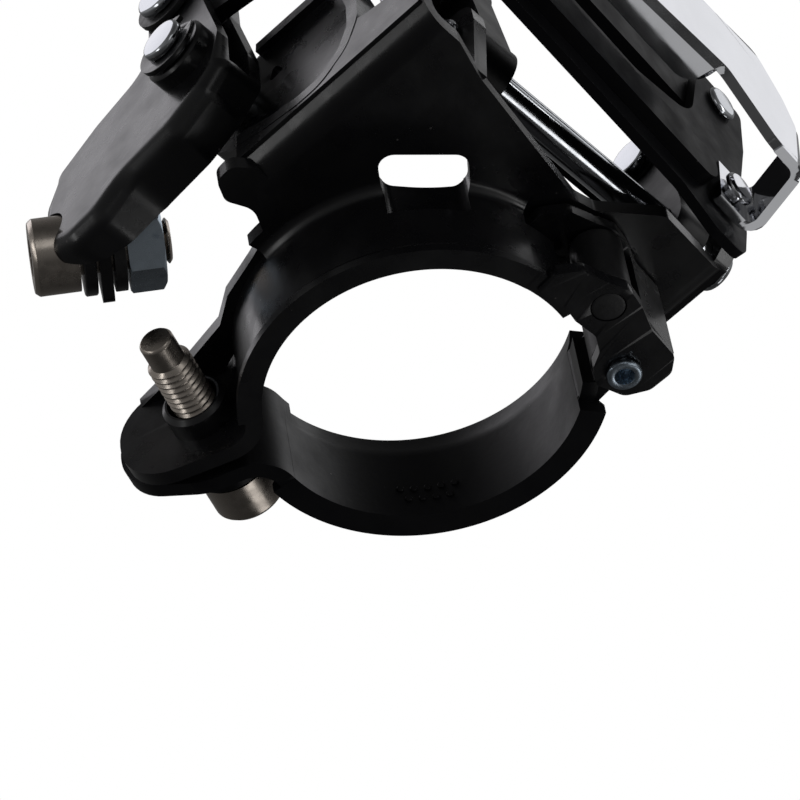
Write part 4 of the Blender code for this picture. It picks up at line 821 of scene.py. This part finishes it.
def mix(nt, fac, a, b):
    m = nt.nodes.new("ShaderNodeMix")
    m.data_type = 'RGBA'
    for sock, v in ((m.inputs["Factor"], fac), (m.inputs["A"], a), (m.inputs["B"], b)):
        if isinstance(v, bpy.types.NodeSocket):
            nt.links.new(v, sock)
        elif isinstance(v, (int, float)):
            sock.default_value = v
        else:
            sock.default_value = (*v, 1)
    return m.outputs["Result"]


def bump(nt, bsdf, height, strength, dist):
    b = nt.nodes.new("ShaderNodeBump")
    b.inputs["Strength"].default_value = strength
    b.inputs["Distance"].default_value = dist
    nt.links.new(height, b.inputs["Height"])
    nt.links.new(b.outputs["Normal"], bsdf.inputs["Normal"])


def dust(nt, vec, scale, amount):
    """Sparse fine specks, 1 on a speck and 0 elsewhere."""
    v = nt.nodes.new("ShaderNodeTexVoronoi")
    v.inputs["Scale"].default_value = scale
    v.inputs["Randomness"].default_value = 1.0
    nt.links.new(vec, v.inputs["Vector"])
    near = ramp(nt, v.outputs["Distance"], [(0.0, 1.0), (0.09, 1.0), (0.13, 0.0)])
    sep = nt.nodes.new("ShaderNodeSeparateColor")
    nt.links.new(v.outputs["Color"], sep.inputs["Color"])
    some = ramp(nt, sep.outputs["Red"], [(0.0, 0.0), (1.0 - amount, 0.0), (1.0 - amount + 0.005, 1.0)])
    m = nt.nodes.new("ShaderNodeMath")
    m.operation = 'MULTIPLY'
    nt.links.new(near, m.inputs[0])
    nt.links.new(some, m.inputs[1])
    return m.outputs["Value"]


def black_paint(name="black_paint", rough=(0.22, 0.38), base=(0.0040, 0.0040, 0.0048), specks=0.03, specular=0.5, coat=0.2):
    m, nt, b = nodes_of(name)
    vec = tex_coords(nt)
    cloud = noise(nt, vec, 90, 3)
    d = dust(nt, vec, 900, specks)
    tone = mix(nt, cloud, base, tuple(c * 1.9 for c in base))
    nt.links.new(mix(nt, d, tone, (0.09, 0.085, 0.085)), b.inputs["Base Color"])
    nt.links.new(ramp(nt, noise(nt, vec, 260, 4), [(0.3, rough[0]), (0.7, rough[1])]), b.inputs["Roughness"])
    b.inputs["Coat Weight"].default_value = coat
    b.inputs["Coat Roughness"].default_value = 0.16
    b.inputs["Specular IOR Level"].default_value = specular
    bump(nt, b, noise(nt, vec, 1400, 2), 0.10, 0.00012)
    return m


def metal(name, colour, rough=(0.12, 0.24), grain=(1, 1, 1), scale=900, bump_s=0.05, stain=None):
    m, nt, b = nodes_of(name)
    vec = tex_coords(nt, grain)
    n1 = noise(nt, vec, scale, 3)
    base = mix(nt, noise(nt, tex_coords(nt), 160, 3), colour, tuple(c * 0.86 for c in colour))
    if stain:
        spots = ramp(nt, noise(nt, tex_coords(nt), 420, 4, 0.6), [(0.60, 0.0), (0.74, 1.0)])
        base = mix(nt, spots, base, stain)
    nt.links.new(base, b.inputs["Base Color"])
    b.inputs["Metallic"].default_value = 1.0
    nt.links.new(ramp(nt, n1, [(0.3, rough[0]), (0.7, rough[1])]), b.inputs["Roughness"])
    bump(nt, b, n1, bump_s, 0.00008)
    return m


def plastic(name="black_plastic"):
    m, nt, b = nodes_of(name)
    vec = tex_coords(nt)
    nt.links.new(mix(nt, noise(nt, vec, 500, 3), (0.010, 0.010, 0.011), (0.020, 0.020, 0.021)), b.inputs["Base Color"])
    nt.links.new(ramp(nt, noise(nt, vec, 900, 3), [(0.3, 0.36), (0.7, 0.52)]), b.inputs["Roughness"])
    bump(nt, b, noise(nt, vec, 2200, 2), 0.2, 0.0001)
    return m


MAT = {
    "black_paint": black_paint(),
    "black_matt": black_paint("black_matt", rough=(0.32, 0.46), specular=0.17, coat=0.03),
    "black_cage": black_paint("black_cage", rough=(0.42, 0.58), specular=0.09, coat=0.0),
    "bright_zinc": metal("bright_zinc", (0.60, 0.62, 0.65), (0.10, 0.20)),
    "nickel": metal("nickel", (0.58, 0.52, 0.46), (0.20, 0.34), stain=(0.34, 0.29, 0.25)),
    "blue_zinc": metal("blue_zinc", (0.50, 0.58, 0.66), (0.20, 0.36), stain=(0.30, 0.36, 0.44)),
    "chrome": metal("chrome", (0.78, 0.79, 0.82), (0.06, 0.13), scale=200, bump_s=0.0),
    "black_plastic": plastic(),
    "spring_steel": metal("spring_steel", (0.42, 0.42, 0.44), (0.22, 0.34)),
}

# ---- place every piece ---------------------------------------------------------------
LO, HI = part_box("clevis_stud")
SHIFT = Vector(((LO[0] + HI[0]) / 2 - STUD_XY[0] * MM, (LO[1] + HI[1]) / 2 - STUD_XY[1] * MM, LO[2] + 7.9 * MM))
BODY = {n: b for b, ns in FRAME["record"]["behaviour"]["bodies"].items() for n in ns}


def put(ob, node, mat, extra=(), width=0.18, seg=2, angle=30, name=None):
    """Bevel, smooth, paint and hang a piece on the body of the CAD node it stands for."""
    if width:
        ob = bevel(ob, width, seg, angle)
    ob.name = name or ("fd_" + node)
    ob.data.name = ob.name
    ob.data.transform(Matrix.Translation(SHIFT))
    ob.data.materials.clear()
    ob.data.materials.append(MAT[mat])
    ob.data.shade_smooth()
    ob.data.set_sharp_from_angle(angle=math.radians(38))
    wn = ob.modifiers.new("Flat faces", 'WEIGHTED_NORMAL')
    wn.mode = 'FACE_AREA'
    wn.weight = 50
    wn.keep_sharp = True
    title = ob.name
    ob = evaluated(ob)
    ob.name = ob.data.name = title
    if name is None:
        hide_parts(node, *extra)
    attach(ob, BODY[node])
    return ob


def thread(top, end, r, pitch=0.8, depth=0.42):
    """Profile points of a screw thread drawn as ridges, from the top down."""
    pts, z = [], top
    while z - pitch > end:
        pts += [(r, z), (r, z - 0.12), (r - depth, z - pitch * 0.5), (r - depth, z - pitch * 0.5 - 0.1)]
        z -= pitch
    return pts + [(r, z), (r, end)]


def fine_clamp_bolt():
    s0 = SEAT_S - 0.3
    body = turned([(0, 15.8), (1.7, 15.8), (1.95, 15.5), (1.95, 12.6)] + thread(12.2, 4.4, 2.5) +
                  [(2.5, s0), (4.25, s0), (4.25, s0 - 4.5), (3.85, s0 - 5.0), (0, s0 - 5.0)], BOLTF, 72)
    return cut(body, prism(circle(0, 0, 2.31, 6), s0 - 6.0, s0 - 2.4, BOLTF))


def fine_anchor_bolt():
    body = turned([(0, 10.2), (2.1, 10.2)] + thread(9.9, 5.2, 2.5) +
                  [(2.5, 0.0), (4.25, 0.0), (4.25, -4.5), (3.85, -5.0), (0, -5.0)], BF, 72)
    return cut(body, prism(circle(0, 0, 2.31, 6), -6, -2.4, BF))


def inset(outline, depth):
    """Outline moved inwards by depth(x, y) at each point."""
    n = len(outline)
    area = sum(outline[i][0] * outline[(i + 1) % n][1] - outline[(i + 1) % n][0] * outline[i][1] for i in range(n))
    turn = 1.0 if area > 0 else -1.0
    pts = []
    for i in range(n):
        a, b, c = Vector(outline[i - 1]), Vector(outline[i]), Vector(outline[(i + 1) % n])
        t = ((b - a).normalized() + (c - b).normalized()).normalized()
        d = depth(b.x, b.y)
        pts.append((b.x - t.y * turn * d, b.y + t.x * turn * d))
    return pts


def loft(rings, frame):
    """Closed solid through rings of equal count, each an outline at a depth."""
    n = len(rings[0][0])
    me = bpy.data.meshes.new("loft")
    verts = [(x * MM, y * MM, z * MM) for pts, z in rings for x, y in pts]
    faces = [tuple(range(n))[::-1], tuple((len(rings) - 1) * n + i for i in range(n))]
    for k in range(len(rings) - 1):
        for i in range(n):
            j = (i + 1) % n
            faces.append((k * n + i, k * n + j, (k + 1) * n + j, (k + 1) * n + i))
    me.from_pydata(verts, [], faces)
    bm = bmesh.new()
    bm.from_mesh(me)
    bmesh.ops.recalc_face_normals(bm, faces=bm.faces)
    bmesh.ops.triangulate(bm, faces=[f for f in bm.faces if len(f.verts) > 4])
    bm.to_mesh(me)
    bm.free()
    ob = bpy.data.objects.new("loft", me)
    PARTS.objects.link(ob)
    ob.matrix_world = world(frame)
    bake(ob)
    bm = bmesh.new()
    bm.from_mesh(ob.data)
    bmesh.ops.recalc_face_normals(bm, faces=bm.faces)
    bm.to_mesh(ob.data)
    bm.free()
    return ob


def distinct(pts, gap=0.06):
    out = []
    for p in pts:
        if not out or math.hypot(p[0] - out[-1][0], p[1] - out[-1][1]) > gap:
            out.append(p)
    while math.hypot(out[0][0] - out[-1][0], out[0][1] - out[-1][1]) < gap:
        out.pop()
    return out


SHELL = [(-5.2, 37.3), (2.5, 37.3), (3.2, 30), (6.4, 18.6), (6.9, 12.4), (4.2, 9.3), (-0.6, 6.5), (-8.0, 5.2), (-12.0, 2.4),
         (-16.5, 1.8), (-20.0, 3.4), (-21.3, 7.5), (-21.4, 13.0), (-19.2, 17.4), (-12.7, 20.8), (-4.6, 24.0)]
SHELL_RAD = [3.6, 3.6, 6, 4, 2.2, 3, 4, 6, 4, 4, 3, 3, 2.2, 3, 6, 5]
HOLLOW = [(9, 13.5), (6.0, 13.5), (4.5, 13.2), (2.6, 10.6), (-1.2, 8.1), (-8.2, 6.7), (-12.4, 3.8), (-16.2, 3.1), (-18.7, 4.4),
          (-19.8, 8.0), (-19.8, 12.4), (-18.0, 16.2), (-22, 19), (-22, 40), (9, 40)]


def fine_cable_arm():
    """One pressed channel: flat cheeks, a rounded ridge, and a tip that wraps the cable bolt."""
    out = distinct(rounded(SHELL, SHELL_RAD, 5))
    r = 2.1
    rings = []
    for k in range(8):
        t = math.radians(90 * k / 7)
        def w(x, z, t=t):
            top = 15.5 if x > -10 else 18.5
            return r * (1 - math.sin(t)) * min(1.0, max(0.0, (top - z) / 3.0))
        rings.append((inset(out, w), ARM_R[0] + r * (1 - math.cos(t))))
    rings.append((out, ARM_F[1]))
    body = loft(rings, L @ XZ)
    hollow = rounded(HOLLOW, [0, 0, 1, 1.6, 2.4, 4, 3, 3, 2, 2, 0.9, 0, 0, 0, 0], 3)
    body = cut(body, prism(hollow, ARM_R[1], ARM_F[0], L @ XZ))
    # the front cheek ends in a curve before the cable bolt
    edge = rounded([(-7.0, -29.7), (-14.7, -31.2), (-18.2, -32.8), (-22.5, -36.5), (-26, -36.5), (-26, -27), (-7, -27)], [0, 6, 3, 0, 0, 0, 0], 4)
    body = cut(body, prism(edge, -2.0, 7.0, L))
    boss = rod((F2[0], -38.0, F2[1]), (F2[0], -35.0, F2[1]), 4.1, L, 48, 0.4)
    body = join(body, boss)
    bf = axis_frame(BOLT_P, BOLT_D, L)
    body = cut(body, turned([(0, 0.3), (4.5, 0.3), (4.5, -8), (0, -8)], bf, 48),
               prism([(-4.55, -4.55), (4.55, -4.55), (4.55, 4.55), (-4.55, 4.55)], 1.8, 3.6, bf),
               turned([(0, 14), (5.35, 14), (5.35, 5.2), (4.95, 5.2), (4.95, 3.5), (0, 3.5)], bf, 48))
    tab = turned([(0, 1.75), (4.75, 1.75), (4.9, 1.6), (4.9, 0.5), (4.75, 0.35), (0, 0.35)], bf, 48)
    body = join(body, tab)
    return cut(body, turned([(0, 4), (2.5 + FIT, 4), (2.5 + FIT, -2), (0, -2)], bf),
               rod((F2[0], -42, F2[1]), (F2[0], -20, F2[1]), F2_R + FIT, L, 48),
               rod((M2[0], -42, M2[1]), (M2[0], -20, M2[1]), PIN_R + FIT, L))


def flush_rivet(i):
    x = RIVET_X[i]
    return rod((x, -28.0, RIVET_Z), (x, -26.1, RIVET_Z), 0.9, L, 32, 0.1)


def fine_bracket():
    """Bracket whose rear wall is a J-shaped rim round the recessed pivot support."""
    body = make_bracket()
    pocket = rounded([(5.6, 6.4), (8.4, 5.2), (12.8, 4.2), (15.8, 4.2), (18.9, 6.2), (20.2, 10.0), (20.0, 14.2), (18.7, 18.2), (17.6, 26), (1, 26), (1, 8.2)],
                     [0.5, 3, 3, 3, 4, 4, 4, 4, 0, 0, 0], 4)
    body = cut(body, prism(pocket, -31.5, -28.0, L @ XZ))
    rim = rounded([(3.7, 5.6), (8.0, 4.2), (12.6, 3.3), (16.0, 3.3), (19.6, 5.8), (21.1, 9.8), (20.9, 14.4), (19.6, 18.6), (18.2, 23.4)],
                  [0, 3, 3, 4, 4, 4, 5, 5, 0], 5, closed=False)
    wall = prism(strip(rim, 1.5), -29.95, -26.4, L @ XZ)
    # the collar's lower edge runs on below the clevis leaf
    run = sweep([(BAND_R, -6.65), (20.0, -6.65), (20.0, -5.7), (19.3, -4.6), (19.3, 2.4), (BAND_R + 0.02, 2.4)], 350, 374, 8)
    body = join(body, wall, run)
    # small hole between the collar's end and the clevis
    return cut(body, rod((24.14, -3.25, -7.2), (16.16, 8.27, 9.0), 1.0, W, 32))


def fine_stud():
    """Stud riveted flush into the clevis leaf."""
    x, y = STUD_XY
    return turned([(0, 8.0), (2.1, 8.0), (2.4, 7.85), (2.6, 7.55), (2.6, 7.1), (1.5, 7.1), (1.5, 2.8), (2.9, 2.8), (2.9, -5.1), (1.9, -5.1),
                   (1.9, -6.8), (1.7, -6.93), (0, -6.95)], Matrix.Translation((x, y, 0)))


def fine_band():
    """Half band whose wall runs on to the hinge eye."""
    run = sweep([(BAND_R + 0.04, -5.15), (19.3, -5.15), (19.3, 2.4), (BAND_R + 0.04, 2.4)], 50.5, 61, 6)
    return join(make_band(), run)


def fine_outer_plate():
    """Outer cage plate whose tongue ends in a long rounded lip."""
    lip = prism(rounded([(38.42, -0.9), (44.75, -0.9), (44.75, -12), (38.42, -12)], [2.9, 2.9, 0, 0], 6), 14.03, 15.17, C)
    return join(make_outer_plate(), lip)


def band_dots():
    """Plain raised dots on the band's inner wall."""
    dots = []
    for a, z in ((122, -2.4), (127, -2.4), (132, -2.4), (137, -2.4), (142, -2.4), (124.5, -4.0), (129.5, -4.0), (134.5, -4.0), (139.5, -4.0)):
        d = Vector((math.cos(math.radians(a)), math.sin(math.radians(a)), 0))
        up = Vector((0, 0, z))
        dots.append(rod(d * 17.9 + up, d * (BAND_R - 0.25) + up, 0.42, W, 20, 0.1))
    return join(*dots)


PLAIN = [
    (fine_bracket, "clamp_bracket", "black_paint"),
    (fine_band, "clamp_band", "black_matt"),
    (make_clevis, "band_hinge_clevis", "black_paint"),
    (make_hinge_pin, "band_hinge_pin", "blue_zinc"),
    (fine_stud, "clevis_stud", "black_plastic"),
    (fine_clamp_bolt, "clamp_bolt", "nickel"),
    (make_pivot_support, "pivot_support", "black_paint"),
    (lambda: flush_rivet(0), "support_rivet_a", "black_paint"),
    (lambda: flush_rivet(1), "support_rivet_b", "black_paint"),
    (lambda: make_limit_screw(0), "limit_screw_low", "bright_zinc"),
    (lambda: make_limit_screw(1), "limit_screw_high", "bright_zinc"),
    (lambda: make_carrier_rivet(0), "carrier_rivet_rear", "bright_zinc"),
    (lambda: make_carrier_rivet(1), "carrier_rivet_front", "bright_zinc"),
    (make_main_rod, "main_pivot_rod", "bright_zinc"),
    (make_outer_link, "outer_link", "black_matt"),
    (make_cage_pin_rear, "cage_pin_rear", "bright_zinc"),
    (make_cage_pin_front, "cage_pin_front", "bright_zinc"),
    (make_bushing, "spring_bushing", "black_plastic"),
    (fine_cable_arm, "cable_arm", "black_paint"),
    (make_inner_pin, "inner_pivot_pin", "bright_zinc"),
    (make_e_ring, "pivot_e_ring", "black_paint"),
    (make_link_pin, "link_pin", "bright_zinc"),
    (make_link_washer, "link_washer", "black_plastic"),
    (fine_anchor_bolt, "cable_anchor_bolt", "nickel"),
    (make_clamp_plate, "cable_clamp_plate", "black_paint"),
    (make_cable_washer, "cable_washer", "black_plastic"),
    (make_cable_nut, "cable_nut", "blue_zinc"),
    (make_carrier, "cage_carrier", "black_cage"),
    (make_inner_plate, "cage_inner_plate", "black_cage"),
    (fine_outer_plate, "cage_outer_plate", "chrome"),
    (make_nose_rivet, "nose_rivet", "chrome"),
    (make_tail_spacer, "tail_spacer", "bright_zinc"),
    (make_tail_screw, "tail_screw", "bright_zinc"),
]
WIDTHS = {"clamp_bolt": 0.05, "cable_anchor_bolt": 0.05, "cage_outer_plate": 0.07, "nose_rivet": 0.06, "band_hinge_clevis": 0.3}
for fn, node, mat in PLAIN:
    put(fn(), node, mat, width=WIDTHS.get(node, 0.18))
put(make_spring(), "return_spring", "spring_steel", width=0)
put(band_dots(), "clamp_band", "black_matt", width=0, name="fd_band_dots")


# ---- floor, light, camera --------------------------------------------------------------
def floor():
    me = bpy.data.meshes.new("floor")
    r = 3.0
    me.from_pydata([(-r, -r, 0), (r, -r, 0), (r, r, 0), (-r, r, 0)], [], [(0, 1, 2, 3)])
    ob = bpy.data.objects.new("floor", me)
    bpy.context.scene.collection.objects.link(ob)
    ob.location = (0, 0, -0.02)
    m, nt, b = nodes_of("floor")
    b.inputs["Base Color"].default_value = (0.86, 0.86, 0.87, 1)
    b.inputs["Roughness"].default_value = 0.8
    # seen from above only: rays from below, and all but the camera's, pass through
    geo = nt.nodes.new("ShaderNodeNewGeometry")
    lp = nt.nodes.new("ShaderNodeLightPath")
    tr = nt.nodes.new("ShaderNodeBsdfTransparent")
    mx = nt.nodes.new("ShaderNodeMixShader")
    inv = nt.nodes.new("ShaderNodeMath")
    inv.operation = 'SUBTRACT'
    inv.inputs[0].default_value = 1.0
    nt.links.new(geo.outputs["Backfacing"], inv.inputs[1])
    mul = nt.nodes.new("ShaderNodeMath")
    mul.operation = 'MULTIPLY'
    nt.links.new(inv.outputs[0], mul.inputs[0])
    nt.links.new(lp.outputs["Is Camera Ray"], mul.inputs[1])
    nt.links.new(mul.outputs[0], mx.inputs["Fac"])
    nt.links.new(tr.outputs[0], mx.inputs[1])
    nt.links.new(b.outputs[0], mx.inputs[2])
    nt.links.new(mx.outputs[0], nt.nodes["Material Output"].inputs["Surface"])
    me.materials.append(m)


CAM_R = Vector((0.697, 0.7059, -0.1261)).normalized()
CAM_U = Vector((0.5927, -0.4681, 0.6555)).normalized()
CAM_B = CAM_R.cross(CAM_U).normalized()


def world_light():
    w = bpy.data.worlds.new("studio")
    bpy.context.scene.world = w
    w.use_nodes = True
    nt = w.node_tree
    bg = nt.nodes["Background"]
    out = nt.nodes["World Output"]
    lp = nt.nodes.new("ShaderNodeLightPath")
    back = nt.nodes.new("ShaderNodeBackground")
    back.inputs["Color"].default_value = (1, 1, 1, 1)
    back.inputs["Strength"].default_value = 1.0
    # soft tent: brighter towards the camera's upper side, dim behind the camera
    tc = nt.nodes.new("ShaderNodeTexCoord")
    def along(v):
        d = nt.nodes.new("ShaderNodeVectorMath")
        d.operation = 'DOT_PRODUCT'
        nt.links.new(tc.outputs["Generated"], d.inputs[0])
        d.inputs[1].default_value = tuple(v)
        return d.outputs["Value"]
    up = ramp(nt, remap(nt, along(CAM_U)), [(0.0, 0.03), (0.35, 0.09), (0.55, 0.24), (0.8, 0.17), (1.0, 0.05)])
    face = ramp(nt, remap(nt, along(CAM_B)), [(0.0, 0.9), (0.4, 1.1), (0.75, 0.9), (1.0, 0.55)])
    m = nt.nodes.new("ShaderNodeMix")
    m.data_type = 'RGBA'
    m.blend_type = 'MULTIPLY'
    m.inputs["Factor"].default_value = 1.0
    nt.links.new(up, m.inputs["A"])
    nt.links.new(face, m.inputs["B"])
    nt.links.new(m.outputs["Result"], bg.inputs["Color"])
    bg.inputs["Strength"].default_value = 1.0
    mx = nt.nodes.new("ShaderNodeMixShader")
    nt.links.new(lp.outputs["Is Camera Ray"], mx.inputs["Fac"])
    nt.links.new(bg.outputs[0], mx.inputs[1])
    nt.links.new(back.outputs[0], mx.inputs[2])
    nt.links.new(mx.outputs[0], out.inputs["Surface"])


def remap(nt, v):
    m = nt.nodes.new("ShaderNodeMapRange")
    m.inputs["From Min"].default_value = -1.0
    m.inputs["From Max"].default_value = 1.0
    nt.links.new(v, m.inputs["Value"])
    return m.outputs["Result"]


def soft_box(name, r, u, b, size, power, colour=(1, 1, 1), ry=None):
    """Area light placed by the camera's right, up and back directions, in metres."""
    la = bpy.data.lights.new(name, 'AREA')
    la.shape = 'RECTANGLE'
    la.size = size
    la.size_y = ry or size
    la.energy = power
    la.color = colour
    ob = bpy.data.objects.new(name, la)
    bpy.context.scene.collection.objects.link(ob)
    at = CENTRE + CAM_R * r + CAM_U * u + CAM_B * b
    ob.location = at
    ob.rotation_euler = (CENTRE - at).to_track_quat('-Z', 'Y').to_euler()
    ob.visible_camera = False
    return ob


S_PX = 9.35
DIST = 0.700
P0 = Vector((0, 0, -6.7)) * MM + SHIFT
CENTRE = P0.copy()
floor()
world_light()
soft_box("key", -0.57 * 0.8, 0.45 * 0.8, -0.69 * 0.8, 0.50, 0.85, (0.97, 0.95, 1.0))
soft_box("rim_right", 0.56 * 0.8, 0.48 * 0.8, -0.67 * 0.8, 0.42, 0.42, (0.98, 0.98, 1.0))
soft_box("strip_right", 0.80, 0.26, 0.16, 0.16, 1.1, ry=0.7)
soft_box("strip_left", -0.78, 0.10, 0.30, 0.14, 0.55, ry=0.6)
soft_box("front", 0.10, 0.50, 0.62, 0.35, 0.22)
soft_box("low_right", 0.45, -0.60, 0.10, 0.30, 0.30)
under = soft_box("under", 0.0, -0.93 * 0.8, 0.37 * 0.8, 0.45, 0.24)
bright = bpy.data.collections.new("lit_from_below")
for ob in bpy.data.objects:
    if ob.name.startswith("fd_cage_outer_plate"):
        bright.objects.link(ob)
under.light_linking.receiver_collection = bright
soft_box("rod_strip", 0.56, -0.27, 0.52, 0.12, 0.30, ry=0.4)

cam = bpy.data.cameras.new("camera")
cam.sensor_width = 36.0
cam.lens = S_PX * 700.0 * 36.0 / 800.0
cam.clip_start = 0.01
cam.clip_end = 10.0
co = bpy.data.objects.new("camera", cam)
bpy.context.scene.collection.objects.link(co)
m3 = Matrix((CAM_R, CAM_U, CAM_B)).transposed()
co.matrix_world = Matrix.Translation(P0 + CAM_R * (-2.5455 * MM) + CAM_U * (-0.588 * MM) + CAM_B * DIST) @ m3.to_4x4()
bpy.context.scene.camera = co
bpy.context.scene.view_settings.view_transform = 'Standard'
bpy.context.scene.view_settings.look = 'None'
